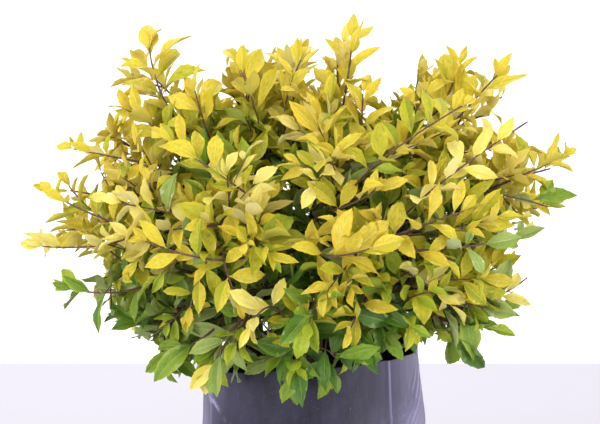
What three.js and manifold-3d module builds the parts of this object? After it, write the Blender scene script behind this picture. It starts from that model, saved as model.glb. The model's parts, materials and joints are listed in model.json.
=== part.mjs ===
// A golden duranta shrub in a soft dark grow bag, at its real size in millimetres, +Z up.
// The origin is the middle of the bag's flat underside. +X is the shrub's right and -Y its front.
// A short stem stands in the soil and forks into ten limbs, and most of those fork again.
// Each limb ends where it enters its own mass of foliage, which grows by one seeded rule.
import * as THREE from "three";
import { mergeVertices } from "three/addons/utils/BufferGeometryUtils.js";
import Module from "manifold-3d";

const wasm = await Module();
wasm.setup();

// The bag: its rim is tilted up towards the right and sags at the front and the back.
const BAG_RADIUS = 119;
const BAG_BULGE = 5;
const FOOT_RADIUS = 104;
const FOOT_ROUNDING = 14;
const BAG_WALL = 2.4;
const RIM_HEIGHT = 252;
const RIM_TILT = 9;
const RIM_SAG = 4;
const CREASE_AZIMUTHS = [28, 137, 208, 317];
const CREASE_HEIGHT = 3;
const CREASE_WIDTH = 13;
const CREASE_START = 60;
const BAG_SEGMENTS = 36;

// The soil
const SOIL_HEIGHT = 222;
const STEM_PAD_RADIUS = 24;
const SOIL_DIP = 3;

// Clearance between pieces that rest on each other
const SEAT_GAP = 0.3;
const SOIL_GAP = 1.1;

// The short stem
const STEM_HEIGHT = 74;
const STEM_LEAN = 5;
const STEM_FOOT_RADIUS = 11.5;
const STEM_TOP_RADIUS = 7.5;
const ROOT_FLARE = 7;
const FLARE_HEIGHT = 16;
const STEM_SIDES = 10;
const STEM_STEPS = 8;

// Limbs: a limb's bow is where it bends most, as a share of its length.
const LIMB_SIDES = 5;
const LIMB_STEPS = 3;
const LIMB_BOW = 0.42;
const FORK_RADIUS = 4.6;
const SIDE_FORK_RADIUS = 3.4;
const MASS_RADIUS = 2.3;
const SHOOT_TIP_RADIUS = 1.1;

// Twigs: angles are in degrees, and lifts are shares of the way's own length.
const TWIG_RADIUS = 1.5;
const TWIG_TIP_RADIUS = 1;
const TWIG_LENGTH = 84;
const TWIG_SPACING = 44;
const TWIG_ANGLE = 48;
const TWIG_LIFT = 0.12;
const GOLDEN_ANGLE = 137.5;

// Leaves: pairs sit at these shares of a twig, the inner pair only on a long twig.
const LEAF_LENGTH = 60;
const LEAF_WIDTH = 33;
const LEAF_THICKNESS = 1.6;
const LEAF_FOLD = 3.6;
const LEAF_CURL = 4;
const LEAF_WIDEST = 0.45;
const LEAF_ANGLE = 50;
const LEAF_LIFT = 0.35;
const LEAF_DROOP = 0.3;
const DROOP_HEIGHT = 240;
const LIFT_HEIGHT = 420;
const PAIR_SPACING = 37;
const OUTER_PAIR = 0.62;
const INNER_PAIR = 0.3;
const LONG_TWIG = 52;
const LEAF_TRIES = 14;
const LEAF_SHRINK = 0.03;
const ROOT_ZONE = 9;

// The space that a mass keeps to, and its clearance from the rest
const CROWN_MIDDLE = 300;
const TOP_HEIGHT = 560;
const OVERSHOOT = 14;
const LOW_RISE = 60;
const MIDDLE_SHARE = 0.5;
const MASS_GAP = 0.4;
const LIMB_CLEARANCE = 0.9;
const BAG_CLEARANCE = 3;
const SCRAP_EDGE = 0.05;

// Every shoot: what it forks from and how far along that, then where its tip is: its azimuth in
// degrees from +X, its reach from the bag's axis and its height, both in mm. "arch" bows it
// upwards, and "bare" is the share of it that is bare limb before its foliage starts.
const SHOOTS = [
  ["top_leader", "stem", 0.99, 28, 43, 620, 0.02, 0.36],
  ["upper_left", "stem", 0.9, 165, 222, 582, 0.2, 0.34],
  ["upper_right", "stem", 0.93, 14, 163, 584, 0.14, 0.34],
  ["left_mid", "stem", 0.74, 184, 302, 436, 0.24, 0.34],
  ["right_mid", "stem", 0.78, 19, 303, 392, 0.3, 0.3],
  ["front_left", "stem", 0.82, 240, 240, 424, 0.28, 0.3],
  ["front_right", "stem", 0.86, 291, 256, 396, 0.34, 0.3],
  ["back_left", "stem", 0.84, 128, 255, 500, 0.24, 0.34],
  ["back_right", "stem", 0.72, 62, 268, 470, 0.26, 0.34],
  ["front_low", "stem", 0.62, 264, 208, 244, 0.56, 0.34],
  ["top_mid", "top_leader", 0.12, 112, 88, 592, 0.1, 0.34],
  ["front_high", "top_leader", 0.08, 280, 172, 496, 0.26, 0.34],
  ["top_left", "upper_left", 0.14, 158, 118, 594, 0.1, 0.3],
  ["left_high", "upper_left", 0.2, 165, 284, 492, 0.16, 0.3],
  ["right_top", "upper_right", 0.16, 17, 250, 540, 0.18, 0.28],
  ["back_top", "upper_right", 0.12, 104, 156, 578, 0.16, 0.34],
  ["left_far", "left_mid", 0.2, 169, 334, 366, 0.22, 0.3],
  ["left_low", "left_mid", 0.14, 194, 288, 318, 0.3, 0.28],
  ["right_far", "right_mid", 0.2, 4, 296, 458, 0.18, 0.28],
  ["right_low", "right_mid", 0.12, 350, 240, 316, 0.36, 0.3],
  ["left_droop", "front_left", 0.14, 204, 222, 246, 0.46, 0.3],
  ["front_mid_left", "front_left", 0.2, 246, 226, 272, 0.36, 0.24],
  ["front_low_right", "front_right", 0.16, 300, 228, 290, 0.4, 0.28],
  ["right_droop", "front_right", 0.12, 330, 216, 250, 0.5, 0.34],
  ["back_low_left", "back_left", 0.16, 150, 258, 336, 0.32, 0.28],
  ["back_droop", "back_left", 0.12, 108, 232, 258, 0.48, 0.34],
  ["back_low_right", "back_right", 0.16, 36, 262, 318, 0.34, 0.28],
  ["back_low", "back_right", 0.2, 86, 268, 388, 0.26, 0.26],
].map(([name, parent, fork, azimuth, reach, height, arch, bare], index) => ({
  name,
  parent,
  fork,
  azimuth: THREE.MathUtils.degToRad(azimuth),
  reach,
  height,
  arch,
  bare,
  seed: 101 + 37 * index,
}));

const UP = new THREE.Vector3(0, 0, 1);

// A repeatable run of numbers from 0 to 1.
function drawsFrom(seed) {
  let state = seed >>> 0;
  return () => {
    state = (Math.imul(state, 1664525) + 1013904223) >>> 0;
    return state / 4294967296;
  };
}

function smoothStep(edge0, edge1, x) {
  return THREE.MathUtils.smoothstep(x, edge0, edge1);
}

// A closed mesh as a solid that can be joined and cut.
function solidOf(geometry) {
  const shape = geometry.clone();
  shape.deleteAttribute("normal");
  shape.deleteAttribute("uv");
  const merged = mergeVertices(shape, 1e-4);
  return new wasm.Manifold(
    new wasm.Mesh({
      numProp: 3,
      vertProperties: new Float32Array(merged.getAttribute("position").array),
      triVerts: new Uint32Array(merged.index.array),
    }),
  );
}

// A solid back as geometry, without edges too short to matter.
function geometryOf(solid) {
  const mesh = largestBody(solid.simplify(SCRAP_EDGE)).getMesh();
  const geometry = new THREE.BufferGeometry();
  geometry.setAttribute("position", new THREE.BufferAttribute(mesh.vertProperties, 3));
  geometry.setIndex(new THREE.BufferAttribute(mesh.triVerts, 1));
  geometry.computeVertexNormals();
  return geometry;
}

// The largest body of a solid: loose scraps are dropped and a sealed hollow is filled.
function largestBody(solid) {
  return solid.decompose().reduce((most, body) => (body.volume() > most.volume() ? body : most));
}

// The curve of a shoot with a frame across it that never turns over, because the frame
// follows the upright plane in which the shoot leans out.
class ShootPath {
  constructor(start, tip, azimuth, arch) {
    const span = tip.clone().sub(start);
    const bow = start.clone().addScaledVector(span, LIMB_BOW);
    bow.addScaledVector(UP, arch * span.length());
    this.curve = new THREE.QuadraticBezierCurve3(start, bow, tip);
    this.across = new THREE.Vector3(-Math.sin(azimuth), Math.cos(azimuth), 0);
    this.length = this.curve.getLength();
  }

  point(t) {
    return this.curve.getPoint(t);
  }

  // Along the shoot, sideways from it and upwards from it.
  frame(t) {
    const along = this.curve.getTangent(Math.min(t, 1));
    const side = this.across.clone().addScaledVector(along, -this.across.dot(along)).normalize();
    const above = new THREE.Vector3().crossVectors(along, side);
    return { along, side, above, height: this.point(t).z };
  }
}

// A cylinder whose rings are carried along a path between two shares of its length.
function limbGeometry(path, from, to, radiusAt, sides, steps) {
  const rod = new THREE.CylinderGeometry(1, 1, 1, sides, steps);
  const corners = rod.getAttribute("position");
  const corner = new THREE.Vector3();
  for (let i = 0; i < corners.count; i++) {
    corner.fromBufferAttribute(corners, i);
    const share = corner.y + 0.5;
    const t = from + (to - from) * share;
    const { side, above } = path.frame(t);
    const radius = radiusAt(share);
    const place = path.point(t);
    place.addScaledVector(above, corner.x * radius).addScaledVector(side, corner.z * radius);
    corners.setXYZ(i, place.x, place.y, place.z);
  }
  return rod;
}

function tapered(radiusFrom, radiusTo, extra = 0) {
  return (share) => radiusFrom + (radiusTo - radiusFrom) * share + extra;
}

// How far the creases lift the film at an azimuth, each one a soft ridge.
function creaseAt(azimuth) {
  let lift = 0;
  for (const fold of CREASE_AZIMUTHS) {
    const turn = THREE.MathUtils.degToRad(fold) - azimuth;
    const away = THREE.MathUtils.radToDeg(Math.atan2(Math.sin(turn), Math.cos(turn)));
    lift += CREASE_HEIGHT * Math.exp(-((away / CREASE_WIDTH) ** 2));
  }
  return lift;
}

// The bag's outer radius at a height, before its creases.
function bagRadius(height) {
  const corner = Math.max(0, FOOT_ROUNDING - height) / FOOT_ROUNDING;
  const foot = FOOT_RADIUS + FOOT_ROUNDING * Math.sqrt(Math.max(0, 1 - corner * corner));
  const bulge = BAG_BULGE * Math.sin(Math.PI * Math.min(1, height / RIM_HEIGHT));
  return Math.min(foot, BAG_RADIUS - 1) + bulge;
}

// Gives a turned shape the bag's creases and its uneven rim. The lathe turns about Y.
function draped(geometry) {
  const corners = geometry.getAttribute("position");
  for (let i = 0; i < corners.count; i++) {
    const x = corners.getX(i);
    const y = -corners.getZ(i);
    const z = corners.getY(i);
    const azimuth = Math.atan2(y, x);
    const radius = Math.hypot(x, y);
    const outward = smoothStep(0.8 * FOOT_RADIUS, FOOT_RADIUS, radius);
    const grown = radius + creaseAt(azimuth) * outward * smoothStep(0, CREASE_START, z);
    const rim = RIM_TILT * Math.cos(azimuth) - RIM_SAG * Math.cos(2 * azimuth);
    const raised = z + rim * smoothStep(SOIL_HEIGHT + 4, RIM_HEIGHT, z) * outward;
    corners.setXYZ(i, grown * Math.cos(azimuth), grown * Math.sin(azimuth), raised);
  }
  return geometry;
}

// Heights of the bag's wall at which its outline is drawn.
const WALL_HEIGHTS = [FOOT_ROUNDING, 100, SOIL_HEIGHT - SOIL_DIP];

function bagGeometry() {
  const floor = [
    [0, 0],
    [FOOT_RADIUS, 0],
    [FOOT_RADIUS + 0.7 * FOOT_ROUNDING, 0.3 * FOOT_ROUNDING],
  ];
  const outer = [...WALL_HEIGHTS, RIM_HEIGHT].map((z) => [bagRadius(z), z]);
  const inner = outer.map(([r, z]) => [r - BAG_WALL, z]).reverse();
  const inside = [
    [FOOT_RADIUS - BAG_WALL, BAG_WALL],
    [0, BAG_WALL],
  ];
  const outline = [...floor, ...outer, ...inner, ...inside];
  const points = outline.map(([r, z]) => new THREE.Vector2(r, z));
  return draped(new THREE.LatheGeometry(points, BAG_SEGMENTS));
}

// The soil fills the bag to a little below its rim, with a flat place where the stem stands.
function soilGeometry() {
  const low = BAG_WALL + SEAT_GAP;
  const side = BAG_WALL + SOIL_GAP;
  const outline = [
    [0, low],
    [FOOT_RADIUS - side, low],
    ...WALL_HEIGHTS.map((z) => [bagRadius(z) - side, z]),
    [0.6 * BAG_RADIUS, SOIL_HEIGHT - 0.5 * SOIL_DIP],
    [STEM_PAD_RADIUS, SOIL_HEIGHT],
    [0, SOIL_HEIGHT],
  ];
  const points = outline.map(([r, z]) => new THREE.Vector2(r, z));
  return draped(new THREE.LatheGeometry(points, BAG_SEGMENTS));
}

// The short stem leans a little to the right and swells to a root flare at the soil.
function stemPath() {
  const foot = new THREE.Vector3(0, 0, SOIL_HEIGHT + SEAT_GAP);
  const lean = Math.tan(THREE.MathUtils.degToRad(STEM_LEAN));
  const top = new THREE.Vector3(lean * STEM_HEIGHT, 0, foot.z + STEM_HEIGHT);
  const path = new ShootPath(foot, top, 0, 0);
  path.curve = new THREE.CubicBezierCurve3(
    foot,
    new THREE.Vector3(0, 0, foot.z + 0.3 * STEM_HEIGHT),
    top.clone().lerp(foot, 0.3),
    top,
  );
  return path;
}

function stemRadius(extra = 0) {
  return (share) => {
    const flare = ROOT_FLARE * Math.exp((-share * STEM_HEIGHT * 2.2) / FLARE_HEIGHT);
    return STEM_FOOT_RADIUS + (STEM_TOP_RADIUS - STEM_FOOT_RADIUS) * share + flare + extra;
  };
}

// A leaf with eight faces: a pointed outline folded up along its midrib.
function leafGeometry(length, width) {
  const blade = new THREE.OctahedronGeometry(1, 0);
  const corners = blade.getAttribute("position");
  for (let i = 0; i < corners.count; i++) {
    const across = corners.getX(i);
    const along = corners.getY(i);
    const face = corners.getZ(i);
    const y = along > 0.5 ? length : along < -0.5 ? 0 : LEAF_WIDEST * length;
    const curl = along > 0.5 ? -LEAF_CURL : 0;
    const z = 0.5 * LEAF_THICKNESS * face + LEAF_FOLD * Math.abs(across) + curl;
    corners.setXYZ(i, 0.5 * width * across, y, z);
  }
  return blade;
}

// Where a leaf sits: its root, the way it points and the way its upper face looks, which is
// up and out of the crown with a roll of its own.
function leafPlace(root, way, roll) {
  const look = new THREE.Vector3(root.x, root.y, root.z - CROWN_MIDDLE).normalize();
  look.addScaledVector(UP, 0.5);
  look.addScaledVector(way, -look.dot(way)).normalize();
  look.applyAxisAngle(way, roll);
  const across = new THREE.Vector3().crossVectors(way, look);
  return new THREE.Matrix4().makeBasis(across, way, look).setPosition(root);
}

// The way a leaf of a pair points: out from its twig at the leaf angle, lifted a little.
function pairWay(frame, turn) {
  const angle = THREE.MathUtils.degToRad(LEAF_ANGLE);
  const way = frame.along.clone().multiplyScalar(Math.cos(angle));
  way.addScaledVector(frame.side, Math.sin(angle) * Math.cos(turn));
  way.addScaledVector(frame.above, Math.sin(angle) * Math.sin(turn));
  return way.addScaledVector(UP, liftAt(frame.height)).normalize();
}

// High leaves lift towards the light and low ones hang a little.
function liftAt(height) {
  return -LEAF_DROOP + (LEAF_LIFT + LEAF_DROOP) * smoothStep(DROOP_HEIGHT, LIFT_HEIGHT, height);
}

// The distance from a point to the nearest point of a straight piece.
function distanceToPiece(point, a, b) {
  const nearest = new THREE.Line3(a, b).closestPointToPoint(point, true, new THREE.Vector3());
  return nearest.distanceTo(point);
}

// Points spread over a geometry's faces, for testing what a leaf or twig would touch.
const FACE_SHARES = [
  [1, 0, 0],
  [0, 1, 0],
  [0, 0, 1],
  [0.5, 0.5, 0],
  [0, 0.5, 0.5],
  [0.5, 0, 0.5],
  [0.25, 0.75, 0],
  [0.75, 0.25, 0],
  [0, 0.25, 0.75],
  [0, 0.75, 0.25],
  [0.25, 0, 0.75],
  [0.75, 0, 0.25],
  [0.34, 0.33, 0.33],
];

function facePoints(geometry) {
  const flat = geometry.index ? geometry.toNonIndexed() : geometry;
  const corners = flat.getAttribute("position");
  const found = [];
  for (let i = 0; i < corners.count; i += 3) {
    const face = [0, 1, 2].map((k) => new THREE.Vector3().fromBufferAttribute(corners, i + k));
    for (const shares of FACE_SHARES) {
      const point = new THREE.Vector3();
      shares.forEach((share, k) => point.addScaledVector(face[k], share));
      found.push(point);
    }
  }
  return found;
}

// All paths: the stem's, then each shoot's from the point where it forks.
const paths = { stem: stemPath() };
for (const shoot of SHOOTS) {
  const start = paths[shoot.parent].point(shoot.fork);
  const tip = new THREE.Vector3(
    shoot.reach * Math.cos(shoot.azimuth),
    shoot.reach * Math.sin(shoot.azimuth),
    shoot.height,
  );
  const lean = Math.atan2(tip.y - start.y, tip.x - start.x);
  paths[shoot.name] = new ShootPath(start, tip, lean, shoot.arch);
}

// A limb's radius where it forks: a limb on the stem is thicker than one on another limb.
function forkRadius(shoot) {
  return shoot.parent === "stem" ? FORK_RADIUS : SIDE_FORK_RADIUS;
}

// Straight pieces along every limb, each with its radius, that leaves keep clear of.
const limbPieces = [];
for (const shoot of SHOOTS) {
  const path = paths[shoot.name];
  const radius = tapered(forkRadius(shoot), MASS_RADIUS);
  for (let k = 0; k < LIMB_STEPS; k++) {
    const a = path.point((shoot.bare * k) / LIMB_STEPS);
    const b = path.point((shoot.bare * (k + 1)) / LIMB_STEPS);
    limbPieces.push({ a, b, radius: radius(k / LIMB_STEPS) });
  }
}

// The middle of each mass. A mass keeps to the space that is nearer its own middle than
// any other's, so no two masses can meet.
const middles = SHOOTS.map((shoot) =>
  paths[shoot.name].point(shoot.bare + (1 - shoot.bare) * MIDDLE_SHARE),
);

function insideSpace(point, index) {
  const own = middles[index];
  return middles.every((other, k) => {
    if (k === index) return true;
    const apart = own.distanceTo(other);
    const past = (point.distanceToSquared(other) - point.distanceToSquared(own)) / (2 * apart);
    return past > MASS_GAP;
  });
}

function clearOfLimbs(point) {
  return limbPieces.every(
    ({ a, b, radius }) => distanceToPiece(point, a, b) > radius + LIMB_CLEARANCE,
  );
}

function clearOfBag(point) {
  const nearHeight = point.z < RIM_HEIGHT + RIM_TILT + BAG_CLEARANCE;
  const nearSide = Math.hypot(point.x, point.y) < BAG_RADIUS + BAG_BULGE + BAG_CLEARANCE;
  return !(nearHeight && nearSide);
}

// A mass keeps within the reach and height of its own shoot, give or take the overshoot.
const peaks = SHOOTS.map((shoot) =>
  Math.max(...[0.4, 0.6, 0.8, 1].map((t) => paths[shoot.name].point(t).z)),
);

function overshootAt(peak) {
  return OVERSHOOT + (1 - smoothStep(DROOP_HEIGHT, TOP_HEIGHT, peak)) * LOW_RISE;
}

function insideReach(point, index) {
  const near = Math.hypot(point.x, point.y) < SHOOTS[index].reach + OVERSHOOT;
  return near && point.z < peaks[index] + overshootAt(peaks[index]);
}

function fits(geometry, index) {
  return facePoints(geometry).every(
    (point) =>
      insideReach(point, index) &&
      insideSpace(point, index) &&
      clearOfBag(point) &&
      clearOfLimbs(point),
  );
}

// The stretch of a shoot that carries leaves ends a leaf's length before the shoot's tip.
function leafyEnd(shoot) {
  return 1 - (0.8 * LEAF_LENGTH) / paths[shoot.name].length;
}

// Whether a leaf meets another solid anywhere but close to its own root.
function crosses(leaf, other, root) {
  const shared = leaf.intersect(other);
  if (shared.isEmpty()) return false;
  const { min, max } = shared.boundingBox();
  const farthest = [0, 1, 2].map((k) => {
    const from = root.getComponent(k);
    return Math.max(Math.abs(min[k] - from), Math.abs(max[k] - from));
  });
  return Math.hypot(...farthest) > ROOT_ZONE;
}

// Side twigs, spaced along a shoot and turned by the golden angle, shorter towards its tip.
function sideTwigs(shoot) {
  const draw = drawsFrom(shoot.seed);
  const path = paths[shoot.name];
  const end = leafyEnd(shoot);
  const stretch = (end - shoot.bare) * path.length;
  const count = Math.max(3, Math.round(stretch / TWIG_SPACING));
  const angle = THREE.MathUtils.degToRad(TWIG_ANGLE);
  const turn0 = 360 * draw();
  const twigs = [];
  for (let k = 0; k < count; k++) {
    const share = (k + 0.15 + 0.3 * draw()) / count;
    const t = shoot.bare + (end - shoot.bare) * share;
    const turn = THREE.MathUtils.degToRad(turn0 + GOLDEN_ANGLE * k + 30 * (draw() - 0.5));
    const root = path.point(t);
    const { along, side, above } = path.frame(t);
    const way = along.clone().multiplyScalar(Math.cos(angle));
    way.addScaledVector(side, Math.sin(angle) * Math.cos(turn));
    way.addScaledVector(above, Math.sin(angle) * Math.sin(turn));
    way.addScaledVector(UP, TWIG_LIFT + 0.5 * liftAt(root.z)).normalize();
    const length = TWIG_LENGTH * (1 - 0.6 * share) * (0.8 + 0.4 * draw());
    const tip = root.clone().addScaledVector(way, length);
    const azimuth = Math.atan2(way.y, way.x);
    twigs.push({ root, tip, azimuth, turn, size: 0.8 + 0.2 * draw() });
  }
  return twigs;
}

// One mass of foliage: a shoot's leafy stretch, its side twigs and its leaves, fused.
function growMass(shoot, index) {
  const draw = drawsFrom(shoot.seed + 7);
  const path = paths[shoot.name];
  const end = leafyEnd(shoot);
  const start = shoot.bare + SEAT_GAP / path.length;
  const wood = [
    solidOf(limbGeometry(path, start, end, tapered(MASS_RADIUS, SHOOT_TIP_RADIUS), 3, 4)),
  ];
  const blades = [];

  // A leaf is turned a little and tried again where it would touch a limb or another
  // leaf or leave the mass's own space, and is skipped after its last try.
  function addLeaf(root, wayAt, size) {
    for (let attempt = 0; attempt < LEAF_TRIES; attempt++) {
      const way = wayAt((draw() - 0.5) * (0.4 + 0.5 * attempt));
      const place = leafPlace(root, way, (draw() - 0.5) * (1.2 + 0.2 * attempt));
      const grown = size * (1 - LEAF_SHRINK * attempt);
      const blade = leafGeometry(LEAF_LENGTH * grown, LEAF_WIDTH * grown).applyMatrix4(place);
      if (!fits(blade, index)) continue;
      const solid = solidOf(blade);
      if ([...wood, ...blades].some((other) => crosses(solid, other, root))) continue;
      blades.push(solid);
      return;
    }
  }

  function addPair(root, frame, turn, size) {
    addLeaf(root, (extra) => pairWay(frame, turn + extra), size);
    addLeaf(root, (extra) => pairWay(frame, turn + Math.PI + extra), size);
  }

  // A leaf at the end of a twig points along it.
  function addEndLeaf(line, t, size) {
    const frame = line.frame(t);
    addLeaf(line.point(t - 1.5 / line.length), (extra) => {
      const way = frame.along.clone().addScaledVector(frame.side, 0.8 * extra);
      return way.addScaledVector(UP, 0.1).normalize();
    }, size);
  }

  const lines = [];
  for (const twig of sideTwigs(shoot)) {
    const line = new ShootPath(twig.root, twig.tip, twig.azimuth, 0);
    const rod = (from) => limbGeometry(line, from, 1, tapered(TWIG_RADIUS, TWIG_TIP_RADIUS), 3, 1);
    if (!fits(rod(0.12), index)) continue;
    wood.push(solidOf(rod(0)));
    lines.push({ line, turn: twig.turn, size: twig.size });
  }

  addEndLeaf(path, end, 0.85);
  for (const { line, size } of lines) addEndLeaf(line, 1, size);
  for (const { line, turn, size } of lines) {
    addPair(line.point(OUTER_PAIR), line.frame(OUTER_PAIR), turn, size);
    if (line.length < LONG_TWIG) continue;
    addPair(line.point(INNER_PAIR), line.frame(INNER_PAIR), turn + 0.5 * Math.PI, size);
  }

  // Opposite pairs along the shoot, each turned a quarter from the last.
  const stretch = (end - shoot.bare) * path.length;
  const pairs = Math.max(2, Math.round(stretch / PAIR_SPACING));
  for (let k = 0; k < pairs; k++) {
    const share = (k + 0.8) / pairs;
    const t = shoot.bare + (end - shoot.bare) * share;
    const turn = THREE.MathUtils.degToRad(20 + 90 * (k % 2));
    addPair(path.point(t), path.frame(t), turn, 1.05 - 0.25 * share);
  }
  return geometryOf(wasm.Manifold.union([...wood, ...blades]));
}

// Materials, by the colours of the real plant
const film = new THREE.MeshStandardMaterial({ color: 0x4a4858, roughness: 0.42, metalness: 0 });
const earth = new THREE.MeshStandardMaterial({ color: 0x2c211a, roughness: 0.95, metalness: 0 });
const bark = new THREE.MeshStandardMaterial({ color: 0x5a4034, roughness: 0.8, metalness: 0 });
const gold = new THREE.MeshStandardMaterial({ color: 0xdcc23a, roughness: 0.5, metalness: 0 });
const lime = new THREE.MeshStandardMaterial({ color: 0x9fae35, roughness: 0.5, metalness: 0 });
const green = new THREE.MeshStandardMaterial({ color: 0x5f7f2c, roughness: 0.5, metalness: 0 });

// Foliage is golden where it is high in the crown and green where it is low.
function foliageColour(shoot) {
  if (shoot.height > 430) return gold;
  return shoot.height > 310 ? lime : green;
}

const plant = new THREE.Group();

function addNode(name, geometry, material) {
  const mesh = new THREE.Mesh(geometry, material.clone());
  mesh.name = name;
  plant.add(mesh);
}

addNode("bag", geometryOf(solidOf(bagGeometry())), film);
addNode("soil", geometryOf(solidOf(soilGeometry())), earth);

// Each limb is cut to the surface of the limbs before it, a seat gap clear of them.
const stemSolid = solidOf(limbGeometry(paths.stem, 0, 1, stemRadius(), STEM_SIDES, STEM_STEPS));
addNode("stem", geometryOf(stemSolid), bark);
const clearances = {
  stem: solidOf(
    limbGeometry(paths.stem, 0, 1.02, stemRadius(SEAT_GAP * 1.3), STEM_SIDES, STEM_STEPS),
  ),
};
for (const shoot of SHOOTS) {
  const path = paths[shoot.name];
  const thick = forkRadius(shoot);
  const limb = limbGeometry(path, 0, shoot.bare, tapered(thick, MASS_RADIUS), LIMB_SIDES, LIMB_STEPS);
  const around = tapered(thick, MASS_RADIUS, SEAT_GAP * 1.3);
  const seated = Object.values(clearances).reduce((left, other) => left.subtract(other), solidOf(limb));
  clearances[shoot.name] = solidOf(
    limbGeometry(path, 0, shoot.bare, around, LIMB_SIDES, LIMB_STEPS),
  );
  addNode(`bough_${shoot.name}`, geometryOf(seated), bark);
}

SHOOTS.forEach((shoot, index) => {
  addNode(`foliage_${shoot.name}`, growMass(shoot, index), foliageColour(shoot));
});

export default plant;
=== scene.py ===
"""Looks of the golden duranta shrub in its soft dark grow bag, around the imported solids.

Lengths here are in millimetres, as in the part's source, and become metres where a mesh is made.
Every limb and main twig follows the source's own seeded rule, written again here, and carries
finer twigs and leaves within the same reach.
"""

import json
import math

import bpy
import numpy as np
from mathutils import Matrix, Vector

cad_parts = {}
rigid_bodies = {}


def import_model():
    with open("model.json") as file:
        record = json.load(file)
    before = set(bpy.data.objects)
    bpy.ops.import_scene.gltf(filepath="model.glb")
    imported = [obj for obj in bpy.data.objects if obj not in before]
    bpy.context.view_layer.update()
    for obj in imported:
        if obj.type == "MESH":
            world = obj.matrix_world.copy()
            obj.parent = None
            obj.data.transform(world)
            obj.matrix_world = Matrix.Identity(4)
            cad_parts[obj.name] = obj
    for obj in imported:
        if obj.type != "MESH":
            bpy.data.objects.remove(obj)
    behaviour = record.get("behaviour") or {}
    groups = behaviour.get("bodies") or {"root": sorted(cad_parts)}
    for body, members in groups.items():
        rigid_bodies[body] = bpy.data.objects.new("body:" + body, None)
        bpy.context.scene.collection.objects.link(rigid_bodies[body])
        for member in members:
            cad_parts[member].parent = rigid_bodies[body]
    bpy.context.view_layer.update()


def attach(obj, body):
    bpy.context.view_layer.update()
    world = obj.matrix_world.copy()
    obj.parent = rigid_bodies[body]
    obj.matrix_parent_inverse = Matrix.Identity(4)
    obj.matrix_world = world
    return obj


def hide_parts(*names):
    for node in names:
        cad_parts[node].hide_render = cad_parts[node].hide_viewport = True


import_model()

MM = 0.001
UP = np.array([0.0, 0.0, 1.0])

# A whole turn, from which random turns are drawn
TURN = 6.28

# The photo's viewpoint: 2.3 m from the crown, 9 degrees above it, through a lens in mm
VIEW_LENS = 125.45
VIEW_DISTANCE = 2300
VIEW_ELEVATION = 9
VIEW_TARGET = np.array([-13.0, 0.0, 406.0])
VIEW_ALONG = np.array([0.0, 1.0, 0.0])

# The bag and the soil, as in the part's source
BAG_RADIUS = 119
BAG_BULGE = 5
FOOT_RADIUS = 104
FOOT_ROUNDING = 14
RIM_HEIGHT = 252
RIM_TILT = 9
RIM_SAG = 4
CREASE_AZIMUTHS = [28, 137, 208, 317]
CREASE_HEIGHT = 3
CREASE_WIDTH = 13
CREASE_START = 60

# Areas of painted sheen on the film: azimuth, how pale, and the degrees from there within which it
# is all so pale and beyond which it isn't pale at all
PAINTED_SHEEN_AREAS = [
    [341, 0.85, 14, 40],
    [304, 0.26, 0, 20],
    [282, 0.1, 0, 20],
    [226, 0.14, 0, 20],
    [200, 0.62, 4, 24],
    [30, 0.22, 4, 36],
    [135, 0.45, 4, 38],
]

# The film's laps: azimuth, side on which it lies double, and how far that lifts it; and how much
# painted highlight lies along the crest of each
FILM_LAPS = [[311.5, 1, 2.6], [209, -1, 2.0], [33, 1, 1.8], [132, -1, 1.8]]
LAP_PAINTED_HIGHLIGHT = 0.75

# Where the bag's wall swells under the rim: azimuth, half-width in degrees and depth in mm
FILM_SWELL = (352, 30, 5.0)

# Slanting wrinkles: azimuth and height of the middle, half-width in degrees, half-height in mm,
# degrees from crest to crest, degrees that a crest turns for each mm of height, depth in mm, and
# how much painted highlight lies along its crests
FILM_WRINKLES = [
    [331, 200, 14, 34, 8, 0.6, 2.8, 2.6],
    [336, 95, 12, 42, 9, 0.3, 1.5, 0.25],
    [217, 194, 6, 22, 15, -0.7, 2.4, 2.6],
    [200, 120, 10, 50, 9, -0.2, 1.4, 0.2],
    [244, 60, 14, 40, 13, -0.24, 1.2, 0.15],
    [296, 45, 12, 38, 12, 0.22, 1.2, 0.15],
    [20, 150, 12, 44, 9, -0.26, 1.6, 0.25],
    [60, 80, 14, 48, 11, 0.2, 1.3, 0.15],
    [110, 150, 12, 46, 10, -0.22, 1.4, 0.2],
    [160, 90, 12, 50, 11, 0.24, 1.5, 0.2],
]

# The film's thickness, the height to which the inside of its wall shows, and the mesh's columns
FILM_THICKNESS = 0.9
INSIDE_FLOOR = 204
FILM_COLUMNS = 720

SOIL_HEIGHT = 222
SOIL_DIP = 3
SEAT_GAP = 0.3

# The stem and the limbs, as in the part's source. A limb's bow lies at a share of its span. Its
# radius is given at its fork, on the stem or on another limb, and where its foliage begins. The
# seeds are the first shoot's and what each next one adds
STEM_HEIGHT = 74
STEM_LEAN = 5
STEM_FOOT_RADIUS = 11.5
STEM_TOP_RADIUS = 7.5
ROOT_FLARE = 7
FLARE_HEIGHT = 16
LIMB_BOW = 0.42
FORK_RADIUS = 4.6
SIDE_FORK_RADIUS = 3.4
MASS_RADIUS = 2.3
SHOOT_SEEDS = (101, 37)

# Main twigs and the lift and droop of leaves, as in the part's source
TWIG_LENGTH = 84
TWIG_SPACING = 44
TWIG_ANGLE = 48
TWIG_LIFT = 0.12
GOLDEN_ANGLE = 137.5
LEAF_LENGTH = 60
LEAF_LIFT = 0.35
LEAF_DROOP = 0.3
DROOP_HEIGHT = 240
LIFT_HEIGHT = 420

# The space that a shoot keeps to, as in the part's source
CROWN_MIDDLE = 300
TOP_HEIGHT = 560
OVERSHOOT = 14
LOW_RISE = 60
BAG_CLEARANCE = 3

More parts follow.
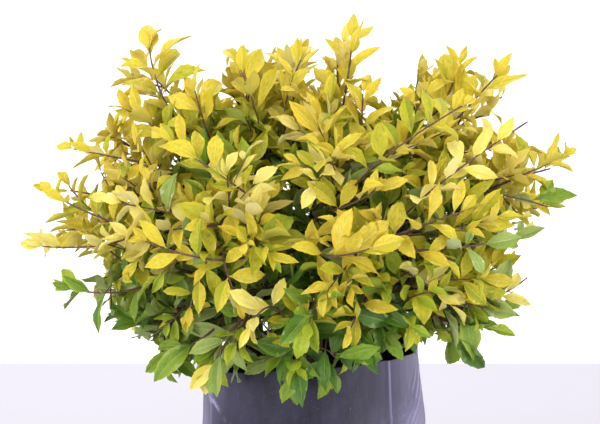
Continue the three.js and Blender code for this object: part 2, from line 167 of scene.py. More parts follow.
# Fine twigs: the shares of a twig at which they leave it, their length and their angle, and the
# length from which a twig bears them all; then the bare share of a twig and of a fine twig
FINE_SHARES = [0.32, 0.62]
FINE_LENGTH = 42
FINE_ANGLE = 42
ALL_FINE_LENGTH = 95
TWIG_BARE = 0.16
FINE_BARE = 0.2

# Where leaves sit, in mm: the first pair from a line's tip, each pair from the first, and a
# shoot's last leaves from its tip; and the least room between the middles of two leaves
FIRST_PAIR = 2
NODE_STEPS = [0, 7, 17, 30, 46, 64, 84]
TIP_LEAF = 30
CLEAR_SPACING = 8.5

# A leaf's usual length, its width as a share of its length, how much it rises, and the share of
# leaves that are left out
BEST_LENGTH = 45
LEAF_SLENDERNESS = 0.415
LEAF_RISE = 0.14
SKIPPED_LEAVES = 0.14

# Pairs of leaves: their size as a share and their angle in degrees next to the line's tip, how
# much each pair farther in adds, and the most that they reach
PAIR_SIZE = (0.55, 0.2, 1.0)
PAIR_ANGLE = (26, 11, 64)

# Middle and spread of what is drawn for each leaf: slenderness, fold, curl, bend, twist and the
# power that shifts its widest place
LEAF_DRAWS = [(1, 0.18), (0.42, 0.34), (0.45, 0.7), (0, 0.09), (0, 0.7), (1.08, 0.24)]

# A leaf that doesn't fit: how often it is tried, how far it is turned each time, and the share of
# its length that it keeps
LEAF_TRIES = 4
TRY_TURN = 0.22
TRY_LENGTH = 0.93

# How leaves face: how much they look up and, on long shoots, towards the view, and how far they
# may roll, there and elsewhere
LOOK_UP = 0.5
LOOK_FORWARD = 0.4
LONG_ROLL = 0.55
LEAF_ROLL = 1.0

# The light of a spray: the least, what height and openness add, what the crown's edge adds, and
# by how much it differs from spray to spray; then how much lighter its outermost leaves are, and
# how much darker each pair farther in
LEAST_LIGHT = 0.09
HIGH_LIGHT = 0.56
EDGE_LIGHT = 0.48
LIGHT_SPREAD = 0.2
TIP_LIGHT = 0.1
PAIR_SHADE = 0.05

# Heights between which light grows, shares of the way out between which the crown opens and its
# edge begins, and heights between which its inside becomes lit too
LIT_HEIGHTS = (200, 490)
OPEN_SHARES = (0.35, 0.8)
EDGE_SHARES = (0.5, 0.95)
LIT_INSIDE = (420, 530)

# How thin the finer wood gets: leading shoots at their tips, and side twigs and fine twigs at
# their feet and tips; and the half-width of the swelling under a pair of leaves
SHOOT_SLIM_RADIUS = 0.85
SIDE_TWIG_RADII = (1.15, 0.6)
FINE_TWIG_RADII = (0.8, 0.45)
KNOT_WIDTH = 2.2

# The crown's outline: half its width, depth and height above and below its widest level
CROWN_HALF = [312, 262]
CROWN_ABOVE = 240
CROWN_BELOW = 165
WIDEST_LEVEL = 380
CROWN_POWER = 2.6

# Twigs that fill the gaps between the shoots, more of them in the shade inside the crown, and a
# skirt of low twigs round the bag's rim: how long they may be, how far out in the crown their tips
# lie, how low those lie, and how far below them leaves may hang. The boxes in which tips are drawn
# have a middle and a half size across, away from the view and up
FILL_LONGEST = 150
FILL_SHORTEST = 22
FILL_FROM = 0.48
FILL_TO = 0.8
FILL_LOWEST = 290
HIGH_LEVELS = (430, 530)
HIGH_TO = 0.7
INNER_FROM = 0.12
GAP_BOX = [(0, 300), (0, 250), (440, 160)]
INNER_BOX = [(0, 220), (0, 170), (400, 110)]
SKIRT_NEAR = 138
SKIRT_FAR = 205
SKIRT_LOW = 252
SKIRT_HIGH = 292
SKIRT_LOWEST_AT = 248
HANG = 24

# Every shoot, as in the part's source: name, parent, fork, azimuth, reach, height, arch, bare
SHOOTS = [
    ["top_leader", "stem", 0.99, 28, 43, 620, 0.02, 0.36],
    ["upper_left", "stem", 0.9, 165, 222, 582, 0.2, 0.34],
    ["upper_right", "stem", 0.93, 14, 163, 584, 0.14, 0.34],
    ["left_mid", "stem", 0.74, 184, 302, 436, 0.24, 0.34],
    ["right_mid", "stem", 0.78, 19, 303, 392, 0.3, 0.3],
    ["front_left", "stem", 0.82, 240, 240, 424, 0.28, 0.3],
    ["front_right", "stem", 0.86, 291, 256, 396, 0.34, 0.3],
    ["back_left", "stem", 0.84, 128, 255, 500, 0.24, 0.34],
    ["back_right", "stem", 0.72, 62, 268, 470, 0.26, 0.34],
    ["front_low", "stem", 0.62, 264, 208, 244, 0.56, 0.34],
    ["top_mid", "top_leader", 0.12, 112, 88, 592, 0.1, 0.34],
    ["front_high", "top_leader", 0.08, 280, 172, 496, 0.26, 0.34],
    ["top_left", "upper_left", 0.14, 158, 118, 594, 0.1, 0.3],
    ["left_high", "upper_left", 0.2, 165, 284, 492, 0.16, 0.3],
    ["right_top", "upper_right", 0.16, 17, 250, 540, 0.18, 0.28],
    ["back_top", "upper_right", 0.12, 104, 156, 578, 0.16, 0.34],
    ["left_far", "left_mid", 0.2, 169, 334, 366, 0.22, 0.3],
    ["left_low", "left_mid", 0.14, 194, 288, 318, 0.3, 0.28],
    ["right_far", "right_mid", 0.2, 4, 296, 458, 0.18, 0.28],
    ["right_low", "right_mid", 0.12, 350, 240, 316, 0.36, 0.3],
    ["left_droop", "front_left", 0.14, 204, 222, 246, 0.46, 0.3],
    ["front_mid_left", "front_left", 0.2, 246, 226, 272, 0.36, 0.24],
    ["front_low_right", "front_right", 0.16, 300, 228, 290, 0.4, 0.28],
    ["right_droop", "front_right", 0.12, 330, 216, 250, 0.5, 0.34],
    ["back_low_left", "back_left", 0.16, 150, 258, 336, 0.32, 0.28],
    ["back_droop", "back_left", 0.12, 108, 232, 258, 0.48, 0.34],
    ["back_low_right", "back_right", 0.16, 36, 262, 318, 0.34, 0.28],
    ["back_low", "back_right", 0.2, 86, 268, 388, 0.26, 0.26],
]

# Long shoots that show by themselves in the photo: the shoot and the share of it that each leaves,
# a place on its way and its tip, in mm, the share of it that carries no leaves, where its last
# leaves sit, the light that its leaves get, and their size
LONG_SHOOTS = [
    ["left_mid", 0.45, [-213, -120, 416], [-275, -95, 440], 0.4, 1.0, 0.8, 0.8],
    ["left_mid", 0.6, [-212, -95, 388], [-288, -70, 380], 0.85, 1.0, 0.64, 0.95],
    ["left_mid", 0.5, [-234, -95, 424], [-257, -85, 447], 0.6, 1.0, 0.75, 0.75],
    ["left_low", 0.5, [-193, -95, 337], [-258, -75, 334], 0.4, 1.0, 0.34, 1.0],
    ["left_low", 0.35, [-150, -122, 308], [-171, -126, 292], 0.5, 0.82, 0.4, 0.8],
    ["left_high", 0.55, [-205, -62, 474], [-256, -40, 481], 0.45, 1.0, 0.8, 0.8],
    ["left_high", 0.45, [-176, -52, 512], [-200, -40, 524], 0.4, 1.0, 0.85, 0.9],
    ["upper_left", 0.5, [-162, -34, 540], [-176, -12, 588], 0.25, 1.0, 0.85, 1.15],
    ["upper_left", 0.45, [-116, -64, 516], [-124, -66, 546], 0.35, 1.0, 0.85, 1.0],
    ["top_left", 0.4, [-64, -58, 536], [-78, -44, 572], 0.3, 1.0, 0.86, 1.1],
    ["top_mid", 0.3, [-26, -48, 540], [-12, -32, 576], 0.3, 1.0, 0.9, 0.9],
    ["top_leader", 0.6, [38, -36, 556], [44, -16, 600], 0.15, 1.0, 0.92, 1.12],
    ["top_leader", 0.4, [51, -88, 510], [53, -86, 545], 0.7, 1.0, 0.9, 0.9],
    ["upper_right", 0.3, [76, -172, 492], [152, -150, 539], 0.35, 1.0, 0.8, 0.85],
    ["upper_right", 0.5, [112, -62, 528], [128, -50, 556], 0.45, 1.0, 0.9, 0.85],
    ["upper_right", 0.7, [146, -54, 544], [156, -42, 572], 0.3, 1.0, 0.9, 0.9],
    ["right_top", 0.5, [176, -48, 538], [198, -36, 560], 0.3, 1.0, 0.86, 1.05],
    ["right_mid", 0.3, [136, -172, 468], [220, -142, 522], 0.35, 0.92, 0.8, 0.9],
    ["right_far", 0.6, [220, -64, 454], [272, -32, 472], 0.35, 1.0, 0.85, 0.9],
    ["right_far", 0.45, [206, -80, 436], [252, -60, 421], 0.86, 1.0, 0.42, 1.15],
    ["right_low", 0.55, [179, -85, 353], [200, -75, 360], 0.6, 1.0, 0.5, 1.0],
    ["front_low_right", 0.5, [146, -134, 328], [228, -92, 350], 0.35, 0.85, 0.6, 1.1],
    ["right_low", 0.5, [162, -118, 322], [191, -110, 322], 0.6, 1.0, 0.3, 1.3],
    ["right_low", 0.4, [150, -120, 306], [180, -112, 300], 0.5, 1.0, 0.34, 1.1],
    ["right_droop", 0.6, [124, -140, 323], [144, -136, 299], 0.93, 1.0, 0.1, 2.0],
    ["left_droop", 0.5, [-111, -140, 298], [-133, -140, 285], 0.88, 1.0, 0.2, 1.55],
    ["front_right", 0.5, [104, -192, 420], [152, -184, 436], 0.4, 1.0, 0.97, 1.0],
    ["front_right", 0.55, [124, -182, 396], [222, -118, 402], 0.4, 1.0, 0.55, 0.8],
    ["front_high", 0.5, [38, -178, 442], [64, -194, 458], 0.3, 1.0, 0.98, 1.0],
    ["front_high", 0.6, [8, -184, 392], [56, -222, 404], 0.2, 1.0, 1.0, 1.1],
    ["upper_left", 0.35, [-84, -172, 464], [-150, -150, 506], 0.35, 1.0, 0.85, 0.82],
    ["front_left", 0.5, [-110, -198, 390], [-170, -178, 404], 0.35, 1.0, 0.85, 0.9],
    ["front_mid_left", 0.5, [-94, -165, 288], [-106, -165, 266], 0.6, 1.0, 0.52, 1.0],
    ["front_low", 0.6, [-16, -172, 280], [-18, -172, 256], 0.3, 1.0, 0.3, 1.1],
    ["front_low", 0.7, [2, -186, 340], [-4, -206, 324], 0.3, 1.0, 0.35, 1.2],
    ["front_low_right", 0.4, [14, -172, 298], [12, -184, 272], 0.6, 1.0, 0.15, 1.1],
    ["front_low_right", 0.3, [60, -150, 331], [72, -160, 306], 0.4, 1.0, 0.2, 1.15],
    ["front_low_right", 0.45, [83, -140, 336], [95, -146, 312], 0.4, 1.0, 0.12, 1.1],
    ["front_low_right", 0.2, [41, -160, 317], [52, -168, 293], 0.4, 1.0, 0.1, 1.1],
    ["front_low_right", 0.3, [46, -182, 332], [38, -200, 318], 0.3, 1.0, 0.95, 0.9],
    ["left_low", 0.2, [-76, 20, 299], [-94, 30, 276], 0.3, 1.0, 0.05, 1.2],
    ["front_low", 0.15, [-42, 10, 305], [-53, 20, 276], 0.3, 1.0, 0.05, 1.2],
    ["left_low", 0.25, [-81, -30, 307], [-68, -20, 282], 0.3, 1.0, 0.2, 1.1],
    ["front_low", 0.8, [-50, -190, 336], [-63, -200, 322], 0.55, 1.0, 0.9, 0.95],
    ["back_right", 0.35, [36, 130, 440], [22, 188, 462], 0.3, 1.0, 0.85, 1.1],
    ["back_left", 0.3, [-6, 120, 468], [6, 165, 500], 0.3, 1.0, 0.85, 1.0],
    ["left_droop", 0.3, [-109, -178, 381], [-128, -172, 325], 0.35, 1.0, 0.82, 0.85],
    ["front_mid_left", 0.35, [-90, -190, 385], [-76, -196, 347], 0.35, 1.0, 0.9, 0.9],
    ["right_droop", 0.35, [126, -168, 350], [141, -164, 336], 0.55, 1.0, 0.88, 0.95],
    ["right_mid", 0.45, [168, -136, 352], [187, -128, 374], 0.45, 1.0, 0.72, 1.0],
]

# Long shoots' pairs of leaves, their radii at the foot and the tip, the room that other leaves
# leave them, and their seeds
LONG_STEPS = [0, 8, 20, 36, 55, 77, 101, 127]
LONG_RADII = (1.6, 0.75)
LONG_CLEARANCE = 9
LONG_SEEDS = (7001, 53)

# The crown's outline in the photo's view: places across and up, in mm, in the upright plane
# through the view's target, from the lowest leaf at the left over the top and back
FRONT_OUTLINE = [
    [-137, 206], [-158, 212], [-164, 260], [-198, 268], [-208, 284], [-233, 292], [-246, 318],
    [-262, 346], [-226, 338], [-232, 356], [-292, 368], [-282, 388], [-296, 425], [-266, 443],
    [-240, 432], [-230, 455], [-262, 466], [-256, 478], [-228, 498], [-216, 573], [-178, 606],
    [-152, 598], [-160, 583], [-136, 583], [-146, 558], [-132, 540], [-117, 568], [-106, 532],
    [-98, 573], [-79, 597], [-40, 586], [-4, 600], [7, 586], [-8, 572], [-8, 546], [10, 542], [16, 580],
    [26, 612], [58, 619], [68, 573], [73, 528], [95, 530], [110, 548], [124, 578], [148, 567],
    [158, 591], [172, 572], [205, 574], [224, 550], [212, 530], [218, 505], [251, 483], [286, 469],
    [257, 443], [268, 412], [232, 398], [206, 372], [198, 330], [206, 294], [183, 274], [152, 264],
    [119, 262], [90, 249], [50, 242], [40, 210], [24, 190], [-30, 197], [-50, 226], [-60, 240],
    [-76, 238], [-82, 214],
]

# Dark gaps in the crown's front in the same view: middle across and up, half-width, half-height,
# and how far back they reach
FRONT_GAPS = [
    [-60, 277, 15, 12, -30],
    [0, 256, 14, 9, 40],
    [30, 266, 19, 13, -10],
    [98, 377, 9, 22, -80],
    [-142, 350, 9, 7, -60],
]

# Leaf kinds from the sunniest to the shadiest: the least light a leaf of that kind gets
LEAF_KINDS = [
    ("bright_gold_leaves", 0.88),
    ("gold_leaves", 0.72),
    ("olive_gold_leaves", 0.57),
    ("lime_leaves", 0.41),
    ("green_leaves", 0.25),
    ("deep_green_leaves", -9.0),
]

# The kinds that a pale spray takes instead, the share of sprays that are pale, and how much that
# share grows towards the crown's lower edge at its two ends
PALE_KINDS = [("cream_leaves", 0.6), ("sage_leaves", -9.0)]
PALE_SHARE = 0.13
LOW_PALE_SHARE = 0.3

# Each kind's colours: its upper face, that face where it is deeper, its under face and midrib,
# light shining through, and its margin
LEAF_COLOURS = {
    "bright_gold_leaves": [(235, 214, 78), (192, 180, 42), (236, 224, 130), (246, 232, 62), (228, 190, 50)],
    "gold_leaves": [(229, 209, 64), (168, 170, 40), (228, 216, 108), (240, 227, 50), (226, 186, 44)],
    "olive_gold_leaves": [(208, 200, 52), (138, 152, 34), (210, 206, 88), (230, 224, 34), (218, 188, 42)],
    "lime_leaves": [(186, 197, 54), (126, 158, 36), (194, 204, 106), (212, 222, 36), (208, 198, 58)],
    "green_leaves": [(142, 170, 46), (90, 132, 30), (170, 188, 106), (178, 212, 34), (180, 190, 66)],
    "deep_green_leaves": [(90, 130, 34), (54, 92, 22), (142, 166, 94), (130, 180, 30), (122, 152, 50)],
    "cream_leaves": [(242, 230, 134), (228, 212, 82), (242, 236, 174), (248, 240, 104), (238, 208, 88)],
    "sage_leaves": [(172, 188, 104), (134, 160, 64), (208, 216, 164), (198, 214, 82), (208, 212, 144)],
}

# The kinds that aren't in the gold foliage's slot, those that are glossier than most, as a
# refractive index, and those that replace foliage nodes, with the heights of those shoots' tips
LEAF_SLOTS = {
    "lime_leaves": "lime_foliage",
    "sage_leaves": "lime_foliage",
    "green_leaves": "green_foliage",
    "deep_green_leaves": "green_foliage",
}
LEAF_GLOSS = {"green_leaves": 1.44, "deep_green_leaves": 1.48}
LEAF_NODES = {"gold_leaves": (430, 999), "lime_leaves": (310, 430), "green_leaves": (0, 310)}

# The leaf's rows along it, the notches that its teeth leave in its edge, its columns across on
# the upper and under face, and the tiles of its map
LEAF_ROWS = np.array([0, 0.1, 0.25, 0.42, 0.57, 0.6, 0.71, 0.74, 0.86, 0.89, 1.0])
LEAF_TEETH = np.array([0, 0, 0, 0, 0.02, -0.055, 0.035, -0.07, 0.05, -0.08, 0])
STALK_WIDTH = 0.035
LEAF_COLUMNS = np.array([-1, -0.42, 0, 0.42, 1])
UNDER_COLUMNS = np.array([-1, 0, 1])
LEAF_THICKNESS = 0.45
TILES_ACROSS = 8
TILES_ALONG = 4

# The share of its light that a leaf lets through
LIGHT_THROUGH = 0.38

# Empty lists of places and of three-cornered faces
NO_PLACES = np.zeros((0, 3))
NO_FACES = np.zeros((0, 3), int)


# Numbers and places


class Draws:
    """A repeatable run of numbers from 0 to 1, the same run as the part's source draws."""

    def __init__(self, seed):
        self.state = seed % 2**32

    def __call__(self):
        self.state = (self.state * 1664525 + 1013904223) % 2**32
        return self.state / 2**32

    def around(self, middle, spread):
        """A number up to spread away from middle."""
        return middle + spread * (2 * self() - 1)


def unit(vector):
    """A vector, or each of an array of them, at length 1."""
    return vector / np.maximum(np.linalg.norm(vector, axis=-1, keepdims=True), 1e-9)


def ring_place(radius, height, azimuth):
    """The place at a radius and a height on an azimuth in radians, or each of many places."""
    x, y = radius * np.cos(azimuth), radius * np.sin(azimuth)
    return np.stack(np.broadcast_arrays(x, y, height), -1)


def degrees_from(middle, azimuth):
    """The angle from a middle in degrees to an azimuth in radians, between -180 and 180."""
    turn = azimuth - math.radians(middle)
    return np.degrees(np.arctan2(np.sin(turn), np.cos(turn)))


def bell(away, width):
    """A bell curve: the falling exponential of the square of away over width."""
    return np.exp(-((away / width) ** 2))


def smooth_step(low, high, x):
    """0 below low, 1 above high, and 3t^2 - 2t^3 of the share t between them."""
    t = np.clip((x - low) / (high - low), 0, 1)
    return t * t * (3 - 2 * t)


# Lines that shoots and twigs follow, and the space that they keep to


class ShootPath:
    """A bent line: at share t it is (1-t)^2 start + 2t(1-t) bow + t^2 tip, where the bow lies
    0.42 of the way along the span and is lifted by the arch times the span's length."""

    def __init__(self, start, tip, azimuth, arch):
        span = tip - start
        self.start, self.tip = start, tip
        self.bow = start + LIMB_BOW * span + arch * np.linalg.norm(span) * UP
        self.across = np.array([-math.sin(azimuth), math.cos(azimuth), 0])
        line = self.point(np.linspace(0, 1, 65))
        self.length = float(np.linalg.norm(np.diff(line, axis=0), axis=1).sum())

    def point(self, t):
        t = np.asarray(t, float)[..., None]
        return (1 - t) ** 2 * self.start + 2 * t * (1 - t) * self.bow + t**2 * self.tip

    def along(self, t):
        t = np.minimum(np.asarray(t, float), 1)[..., None]
        return unit((1 - t) * (self.bow - self.start) + t * (self.tip - self.bow))

    def frame(self, t):
        """Along the line, sideways from it and upwards from it."""
        along = self.along(t)
        side = unit(self.across - (along @ self.across)[..., None] * along)
        return along, side, np.cross(along, side)


class StemPath(ShootPath):
    """The stem's line: a cubic curve with its handles 0.3 of the height up and 0.3 of the way
    back from its top."""

    def __init__(self):
        foot = np.array([0, 0, SOIL_HEIGHT + SEAT_GAP])
        lean = math.tan(math.radians(STEM_LEAN)) * STEM_HEIGHT
        top = foot + np.array([lean, 0, STEM_HEIGHT])
        self.handles = [foot, foot + 0.3 * STEM_HEIGHT * UP, 0.7 * top + 0.3 * foot, top]
        super().__init__(foot, top, 0, 0)

    def point(self, t):
        t = np.asarray(t, float)[..., None]
        a, b, c, d = self.handles
        ends = (1 - t) ** 3 * a + t**3 * d
        return ends + 3 * (1 - t) ** 2 * t * b + 3 * (1 - t) * t**2 * c

    def along(self, t):
        t = np.asarray(t, float)
        return unit(self.point(np.minimum(t + 0.01, 1)) - self.point(np.maximum(t - 0.01, 0)))


def lift_at(height):
    """High leaves lift towards the light and low ones hang a little: a share from -0.3 to 0.35."""
    rise = smooth_step(DROOP_HEIGHT, LIFT_HEIGHT, height)
    return -LEAF_DROOP + (LEAF_LIFT + LEAF_DROOP) * rise


def outness(place):
    """How far out in the crown a place lies: 0 in its middle and 1 on its outline, which is a
    rounded box: the root of the summed powers of the place's shares of the half sizes."""
    level = place[2] - WIDEST_LEVEL
    high = abs(level) / (CROWN_ABOVE if level > 0 else CROWN_BELOW)
    parts = np.array([abs(place[0]) / CROWN_HALF[0], abs(place[1]) / CROWN_HALF[1], high])
    return float((parts**CROWN_POWER).sum() ** (1 / CROWN_POWER))


def seen_from_front(points):
    """Where points stand in the photo's view: across and up, in the upright plane through the
    view's target, scaled by the target's distance over each point's own."""
    tilt = math.radians(VIEW_ELEVATION)
    away = points - VIEW_TARGET
    rise = away[:, 2] * math.cos(tilt) + away[:, 1] * math.sin(tilt)
    deep = VIEW_DISTANCE + away[:, 1] * math.cos(tilt) - away[:, 2] * math.sin(tilt)
    scale = VIEW_DISTANCE / deep
    return VIEW_TARGET[0] + away[:, 0] * scale, VIEW_TARGET[2] + rise * scale


def inside_outline(points):
    """Whether points lie inside the crown's outline in the photo's view: a level line from each
    to the right crosses the outline an odd number of times. The dark gaps count as outside."""
    across, rise = seen_from_front(points)
    start = np.array(FRONT_OUTLINE, float)
    end = np.roll(start, -1, axis=0)
    spans = (start[:, 1] > rise[:, None]) != (end[:, 1] > rise[:, None])
    height = np.where(end[:, 1] == start[:, 1], 1.0, end[:, 1] - start[:, 1])
    share = (rise[:, None] - start[:, 1]) / height
    crossing = start[:, 0] + share * (end[:, 0] - start[:, 0])
    inside = (spans & (crossing > across[:, None])).sum(1) % 2 == 1
    for middle, level, half_width, half_height, back in FRONT_GAPS:
        apart = ((across - middle) / half_width) ** 2 + ((rise - level) / half_height) ** 2
        inside &= (apart > 1) | (points[:, 1] > back)
    return inside


def clear_of_bag(points):
    """Whether points lie over the bag's rim or outside its wall."""
    over_bag = points[:, 2] > RIM_HEIGHT + RIM_TILT + BAG_CLEARANCE
    beside_bag = np.hypot(points[:, 0], points[:, 1]) > BAG_RADIUS + BAG_BULGE + BAG_CLEARANCE
    return bool((over_bag | beside_bag).all())


class OpenSpace:
    """The space of a twig between the shoots: in the crown and no lower than a level. A long
    shoot's space is free of the crown's outline."""

    def __init__(self, lowest, free=False):
        self.lowest, self.free = lowest, free

    def holds(self, points):
        if not clear_of_bag(points) or points[:, 2].min() < self.lowest:
            return False
        if self.free:
            return True
        return all(outness(point) < 0.97 for point in points) and inside_outline(points).all()


class Shoot:
    """One row of the table with its line, its reach and its peak."""

    free = False

    def __init__(self, index, row, paths):
        self.name, self.parent, self.fork = row[:3]
        self.reach, self.height, self.arch, self.bare = row[4:]
        azimuth = math.radians(row[3])
        self.seed = SHOOT_SEEDS[0] + SHOOT_SEEDS[1] * index
        start = paths[self.parent].point(self.fork)
        tip = ring_place(self.reach, self.height, azimuth)
        lean = math.atan2(tip[1] - start[1], tip[0] - start[0])
        self.path = ShootPath(start, tip, lean, self.arch)
        paths[self.name] = self.path
        self.leafy_end = 1 - 0.8 * LEAF_LENGTH / self.path.length
        self.last_leaves = 1 - TIP_LEAF / self.path.length
        self.peak = max(self.path.point(np.array([0.4, 0.6, 0.8, 1.0]))[:, 2])
        self.room = OVERSHOOT + (1 - smooth_step(DROOP_HEIGHT, TOP_HEIGHT, self.peak)) * LOW_RISE
        self.fork_radius = FORK_RADIUS if self.parent == "stem" else SIDE_FORK_RADIUS

    def holds(self, points):
        """Whether points stay within the shoot's reach and height and the crown's outline, and
        clear of the bag."""
        outward = np.hypot(points[:, 0], points[:, 1])
        inside = (outward < self.reach + OVERSHOOT) & (points[:, 2] < self.peak + self.room)
        return bool(inside.all()) and clear_of_bag(points) and bool(inside_outline(points).all())

    def twig_start(self, share, turn):
        """Where a twig leaves the shoot's leafy stretch, at a share of it, and which way."""
        t = self.bare + (self.leafy_end - self.bare) * share
        root = self.path.point(t)
        lift = TWIG_LIFT + 0.5 * lift_at(root[2])
        return root, way_from(self.path.frame(t), math.radians(TWIG_ANGLE), turn, lift)


# Growth


def side_twigs(shoot):
    """The part's main twigs: spaced along the shoot, each turned by the golden angle from the
    last, 48 degrees off the shoot, and shorter towards its tip."""
    draw = Draws(shoot.seed)
    stretch = (shoot.leafy_end - shoot.bare) * shoot.path.length
    count = max(3, math.floor(stretch / TWIG_SPACING + 0.5))
    first_turn = 360 * draw()
    twigs = []
    for k in range(count):
        share = (k + 0.15 + 0.3 * draw()) / count
        turn = math.radians(first_turn + GOLDEN_ANGLE * k + 30 * (draw() - 0.5))
        root, way = shoot.twig_start(share, turn)
        length = TWIG_LENGTH * (1 - 0.6 * share) * (0.8 + 0.4 * draw())
        twigs.append((root, way, length, turn))
        # The source draws the size of its leaves here, which has no use in this script
        draw()
    return twigs


def way_from(axes, angle, turn, lift):
    """The way that leaves a line at an angle, turned round it, with a lift added."""
    along, side, above = axes
    sideways = math.cos(turn) * side + math.sin(turn) * above
    return unit(math.cos(angle) * along + math.sin(angle) * sideways + lift * UP)


class Crown:
    """All that grows on the shoots: leaves, and rods of each kind of wood."""

    def __init__(self, shoots, paths):
        self.shoots, self.paths = shoots, paths
        self.leaves = {name: [] for name, _ in LEAF_KINDS + PALE_KINDS}
        self.rods = {"leading_shoots": [], "side_twigs": [], "fine_twigs": []}
        self.taken = {}
        self.tips = []
        self.kept_clear = NO_PLACES

    def crowded(self, middle):
        """Whether another leaf's middle already lies close by. Middles are kept by the cell of a
        lattice that they lie in, so only the cells around need a look."""
        cell = np.floor(middle / CLEAR_SPACING).astype(int)
        for step in np.ndindex(3, 3, 3):
            for other in self.taken.get(tuple(cell + step - 1), ()):
                if np.linalg.norm(other - middle) < CLEAR_SPACING:
                    return True
        self.taken.setdefault(tuple(cell), []).append(middle)
        return False

    def add_leaf(self, space, draw, root, way, length, light, kinds):
        """Adds a leaf unless it would leave its space, touch the bag or a long shoot or crowd
        another leaf, and tells whether it did."""
        for attempt in range(LEAF_TRIES):
            turned = np.array([draw() - 0.5, draw() - 0.5, draw() - 0.3])
            aim = unit(way + TRY_TURN * attempt * turned)
            points = root + aim * length * np.array([[0.3], [0.6], [0.9]])
            if space.holds(points):
                break
            length *= TRY_LENGTH
        else:
            return False
        middle = root + 0.5 * length * aim
        near = np.linalg.norm(self.kept_clear - middle, axis=1) < LONG_CLEARANCE
        if near.any() or self.crowded(middle):
            return False
        look = unit(root - CROWN_MIDDLE * UP) + LOOK_UP * UP
        if space.free:
            look = look - LOOK_FORWARD * VIEW_ALONG
        look = unit(look - (look @ aim) * aim)
        roll = draw.around(0, LONG_ROLL if space.free else LEAF_ROLL)
        look = math.cos(roll) * look + math.sin(roll) * np.cross(aim, look)
        kind = next(name for name, least in kinds if light >= least)
        slender, fold, curl, bend, twist, widest = (draw.around(*pair) for pair in LEAF_DRAWS)
        wave = 0.05 + 0.05 * draw()
        shape = [length, LEAF_SLENDERNESS * slender, fold, curl, bend, TURN * draw(), wave]
        tile = math.floor(2 * TILES_ACROSS * draw())
        self.leaves[kind].append(np.concatenate([root, aim, look, shape, [twist, widest, tile]]))
        return True

    def dress(self, space, draw, path, first, last, size, light, turn, end_leaf=True, steps=None):
        """Sets opposite pairs of leaves along a line from its tip inwards, each pair turned a
        quarter from the last, close together and small at the tip and wider apart below it.
        Returns the share of the line that its outermost leaves reach."""
        leafy = 0.0
        low = 1 - float(smooth_step(300, 440, path.point(last)[2]))
        pale = PALE_SHARE + LOW_PALE_SHARE * low * abs(path.point(last)[0]) / 200
        is_pale = draw() < pale and not (space.free and light < 0.5)
        kinds = PALE_KINDS if is_pale else LEAF_KINDS
        if end_leaf:
            along, side = path.frame(last)[:2]
            way = unit(along + draw.around(0, 0.25) * side + 0.1 * UP)
            tip_length = BEST_LENGTH * size * draw.around(0.72, 0.12)
            tone = light + TIP_LIGHT
            if self.add_leaf(space, draw, path.point(last), way, tip_length, tone, kinds):
                leafy = last
        span = (last - first) * path.length
        for k, step in enumerate(steps or NODE_STEPS):
            inward = step + FIRST_PAIR
            if inward > span:
                break
            t = last - inward / path.length
            grown, angle = (min(most, at_tip + k * more) for at_tip, more, most in (PAIR_SIZE, PAIR_ANGLE))
            angle = math.radians(angle)
            axes = path.frame(t)
            root = path.point(t)
            for half in (0, math.pi):
                if draw() < SKIPPED_LEAVES:
                    continue
                bearing = turn + half + k * math.pi / 2 + draw.around(0, 0.45)
                lift = LEAF_RISE + 0.9 * lift_at(root[2]) + draw.around(0.0, 0.2)
                way = way_from(axes, angle + draw.around(0, 0.28), bearing, lift)
                length = BEST_LENGTH * size * grown * draw.around(1, 0.2)
                tone = light + TIP_LIGHT - PAIR_SHADE * k + draw.around(0, 0.09)
                if self.add_leaf(space, draw, root, way, length, tone, kinds):
                    leafy = max(leafy, t)
        return leafy

    def light_at(self, place, draw):
        """How sunny a spray is, from 0 to 1: more with its height and towards the outline, and
        little deep inside the crown."""
        high = float(smooth_step(*LIT_HEIGHTS, place[2]))
        out = outness(place)
        open_sky = float(smooth_step(*OPEN_SHARES, out))
        edge = float(smooth_step(*EDGE_SHARES, out))
        inner = 0.34 + 0.41 * float(smooth_step(*LIT_INSIDE, place[2]))
        light = LEAST_LIGHT + HIGH_LIGHT * high * (inner + (1 - inner) * open_sky)
        light += EDGE_LIGHT * edge * (0.34 + 0.66 * high)
        return light + draw.around(0, LIGHT_SPREAD)

    def grow(self, shoot):
        """The leafy stretch of one shoot: its leading shoot, its main twigs by the part's rule,
        more twigs between them by the same rule, and fine twigs on all of them."""
        draw = Draws(shoot.seed + 7)
        path, bare, last = shoot.path, shoot.bare, shoot.last_leaves
        tip_light = self.light_at(path.point(last), draw)
        self.tips.append(path.point(last))
        leafy = self.dress(shoot, draw, path, bare, last, 1.0, tip_light, 0.35)
        self.rods["leading_shoots"].append((path, bare, max(leafy, bare + 0.05), slim_radius))
        twigs = side_twigs(shoot)
        more = round((shoot.leafy_end - bare) * path.length / TWIG_SPACING)
        for k in range(more):
            share = 0.85 * (k + 0.1 + 0.8 * draw()) / more
            turn = math.radians(71 + GOLDEN_ANGLE * k + 40 * (draw() - 0.5))
            root, way = shoot.twig_start(share, turn)
            length = TWIG_LENGTH * (0.85 - 0.45 * share) * draw.around(0.9, 0.3)
            twigs.append((root, way, length, turn))
        for twig in twigs:
            self.grow_twig(shoot, draw, *twig)

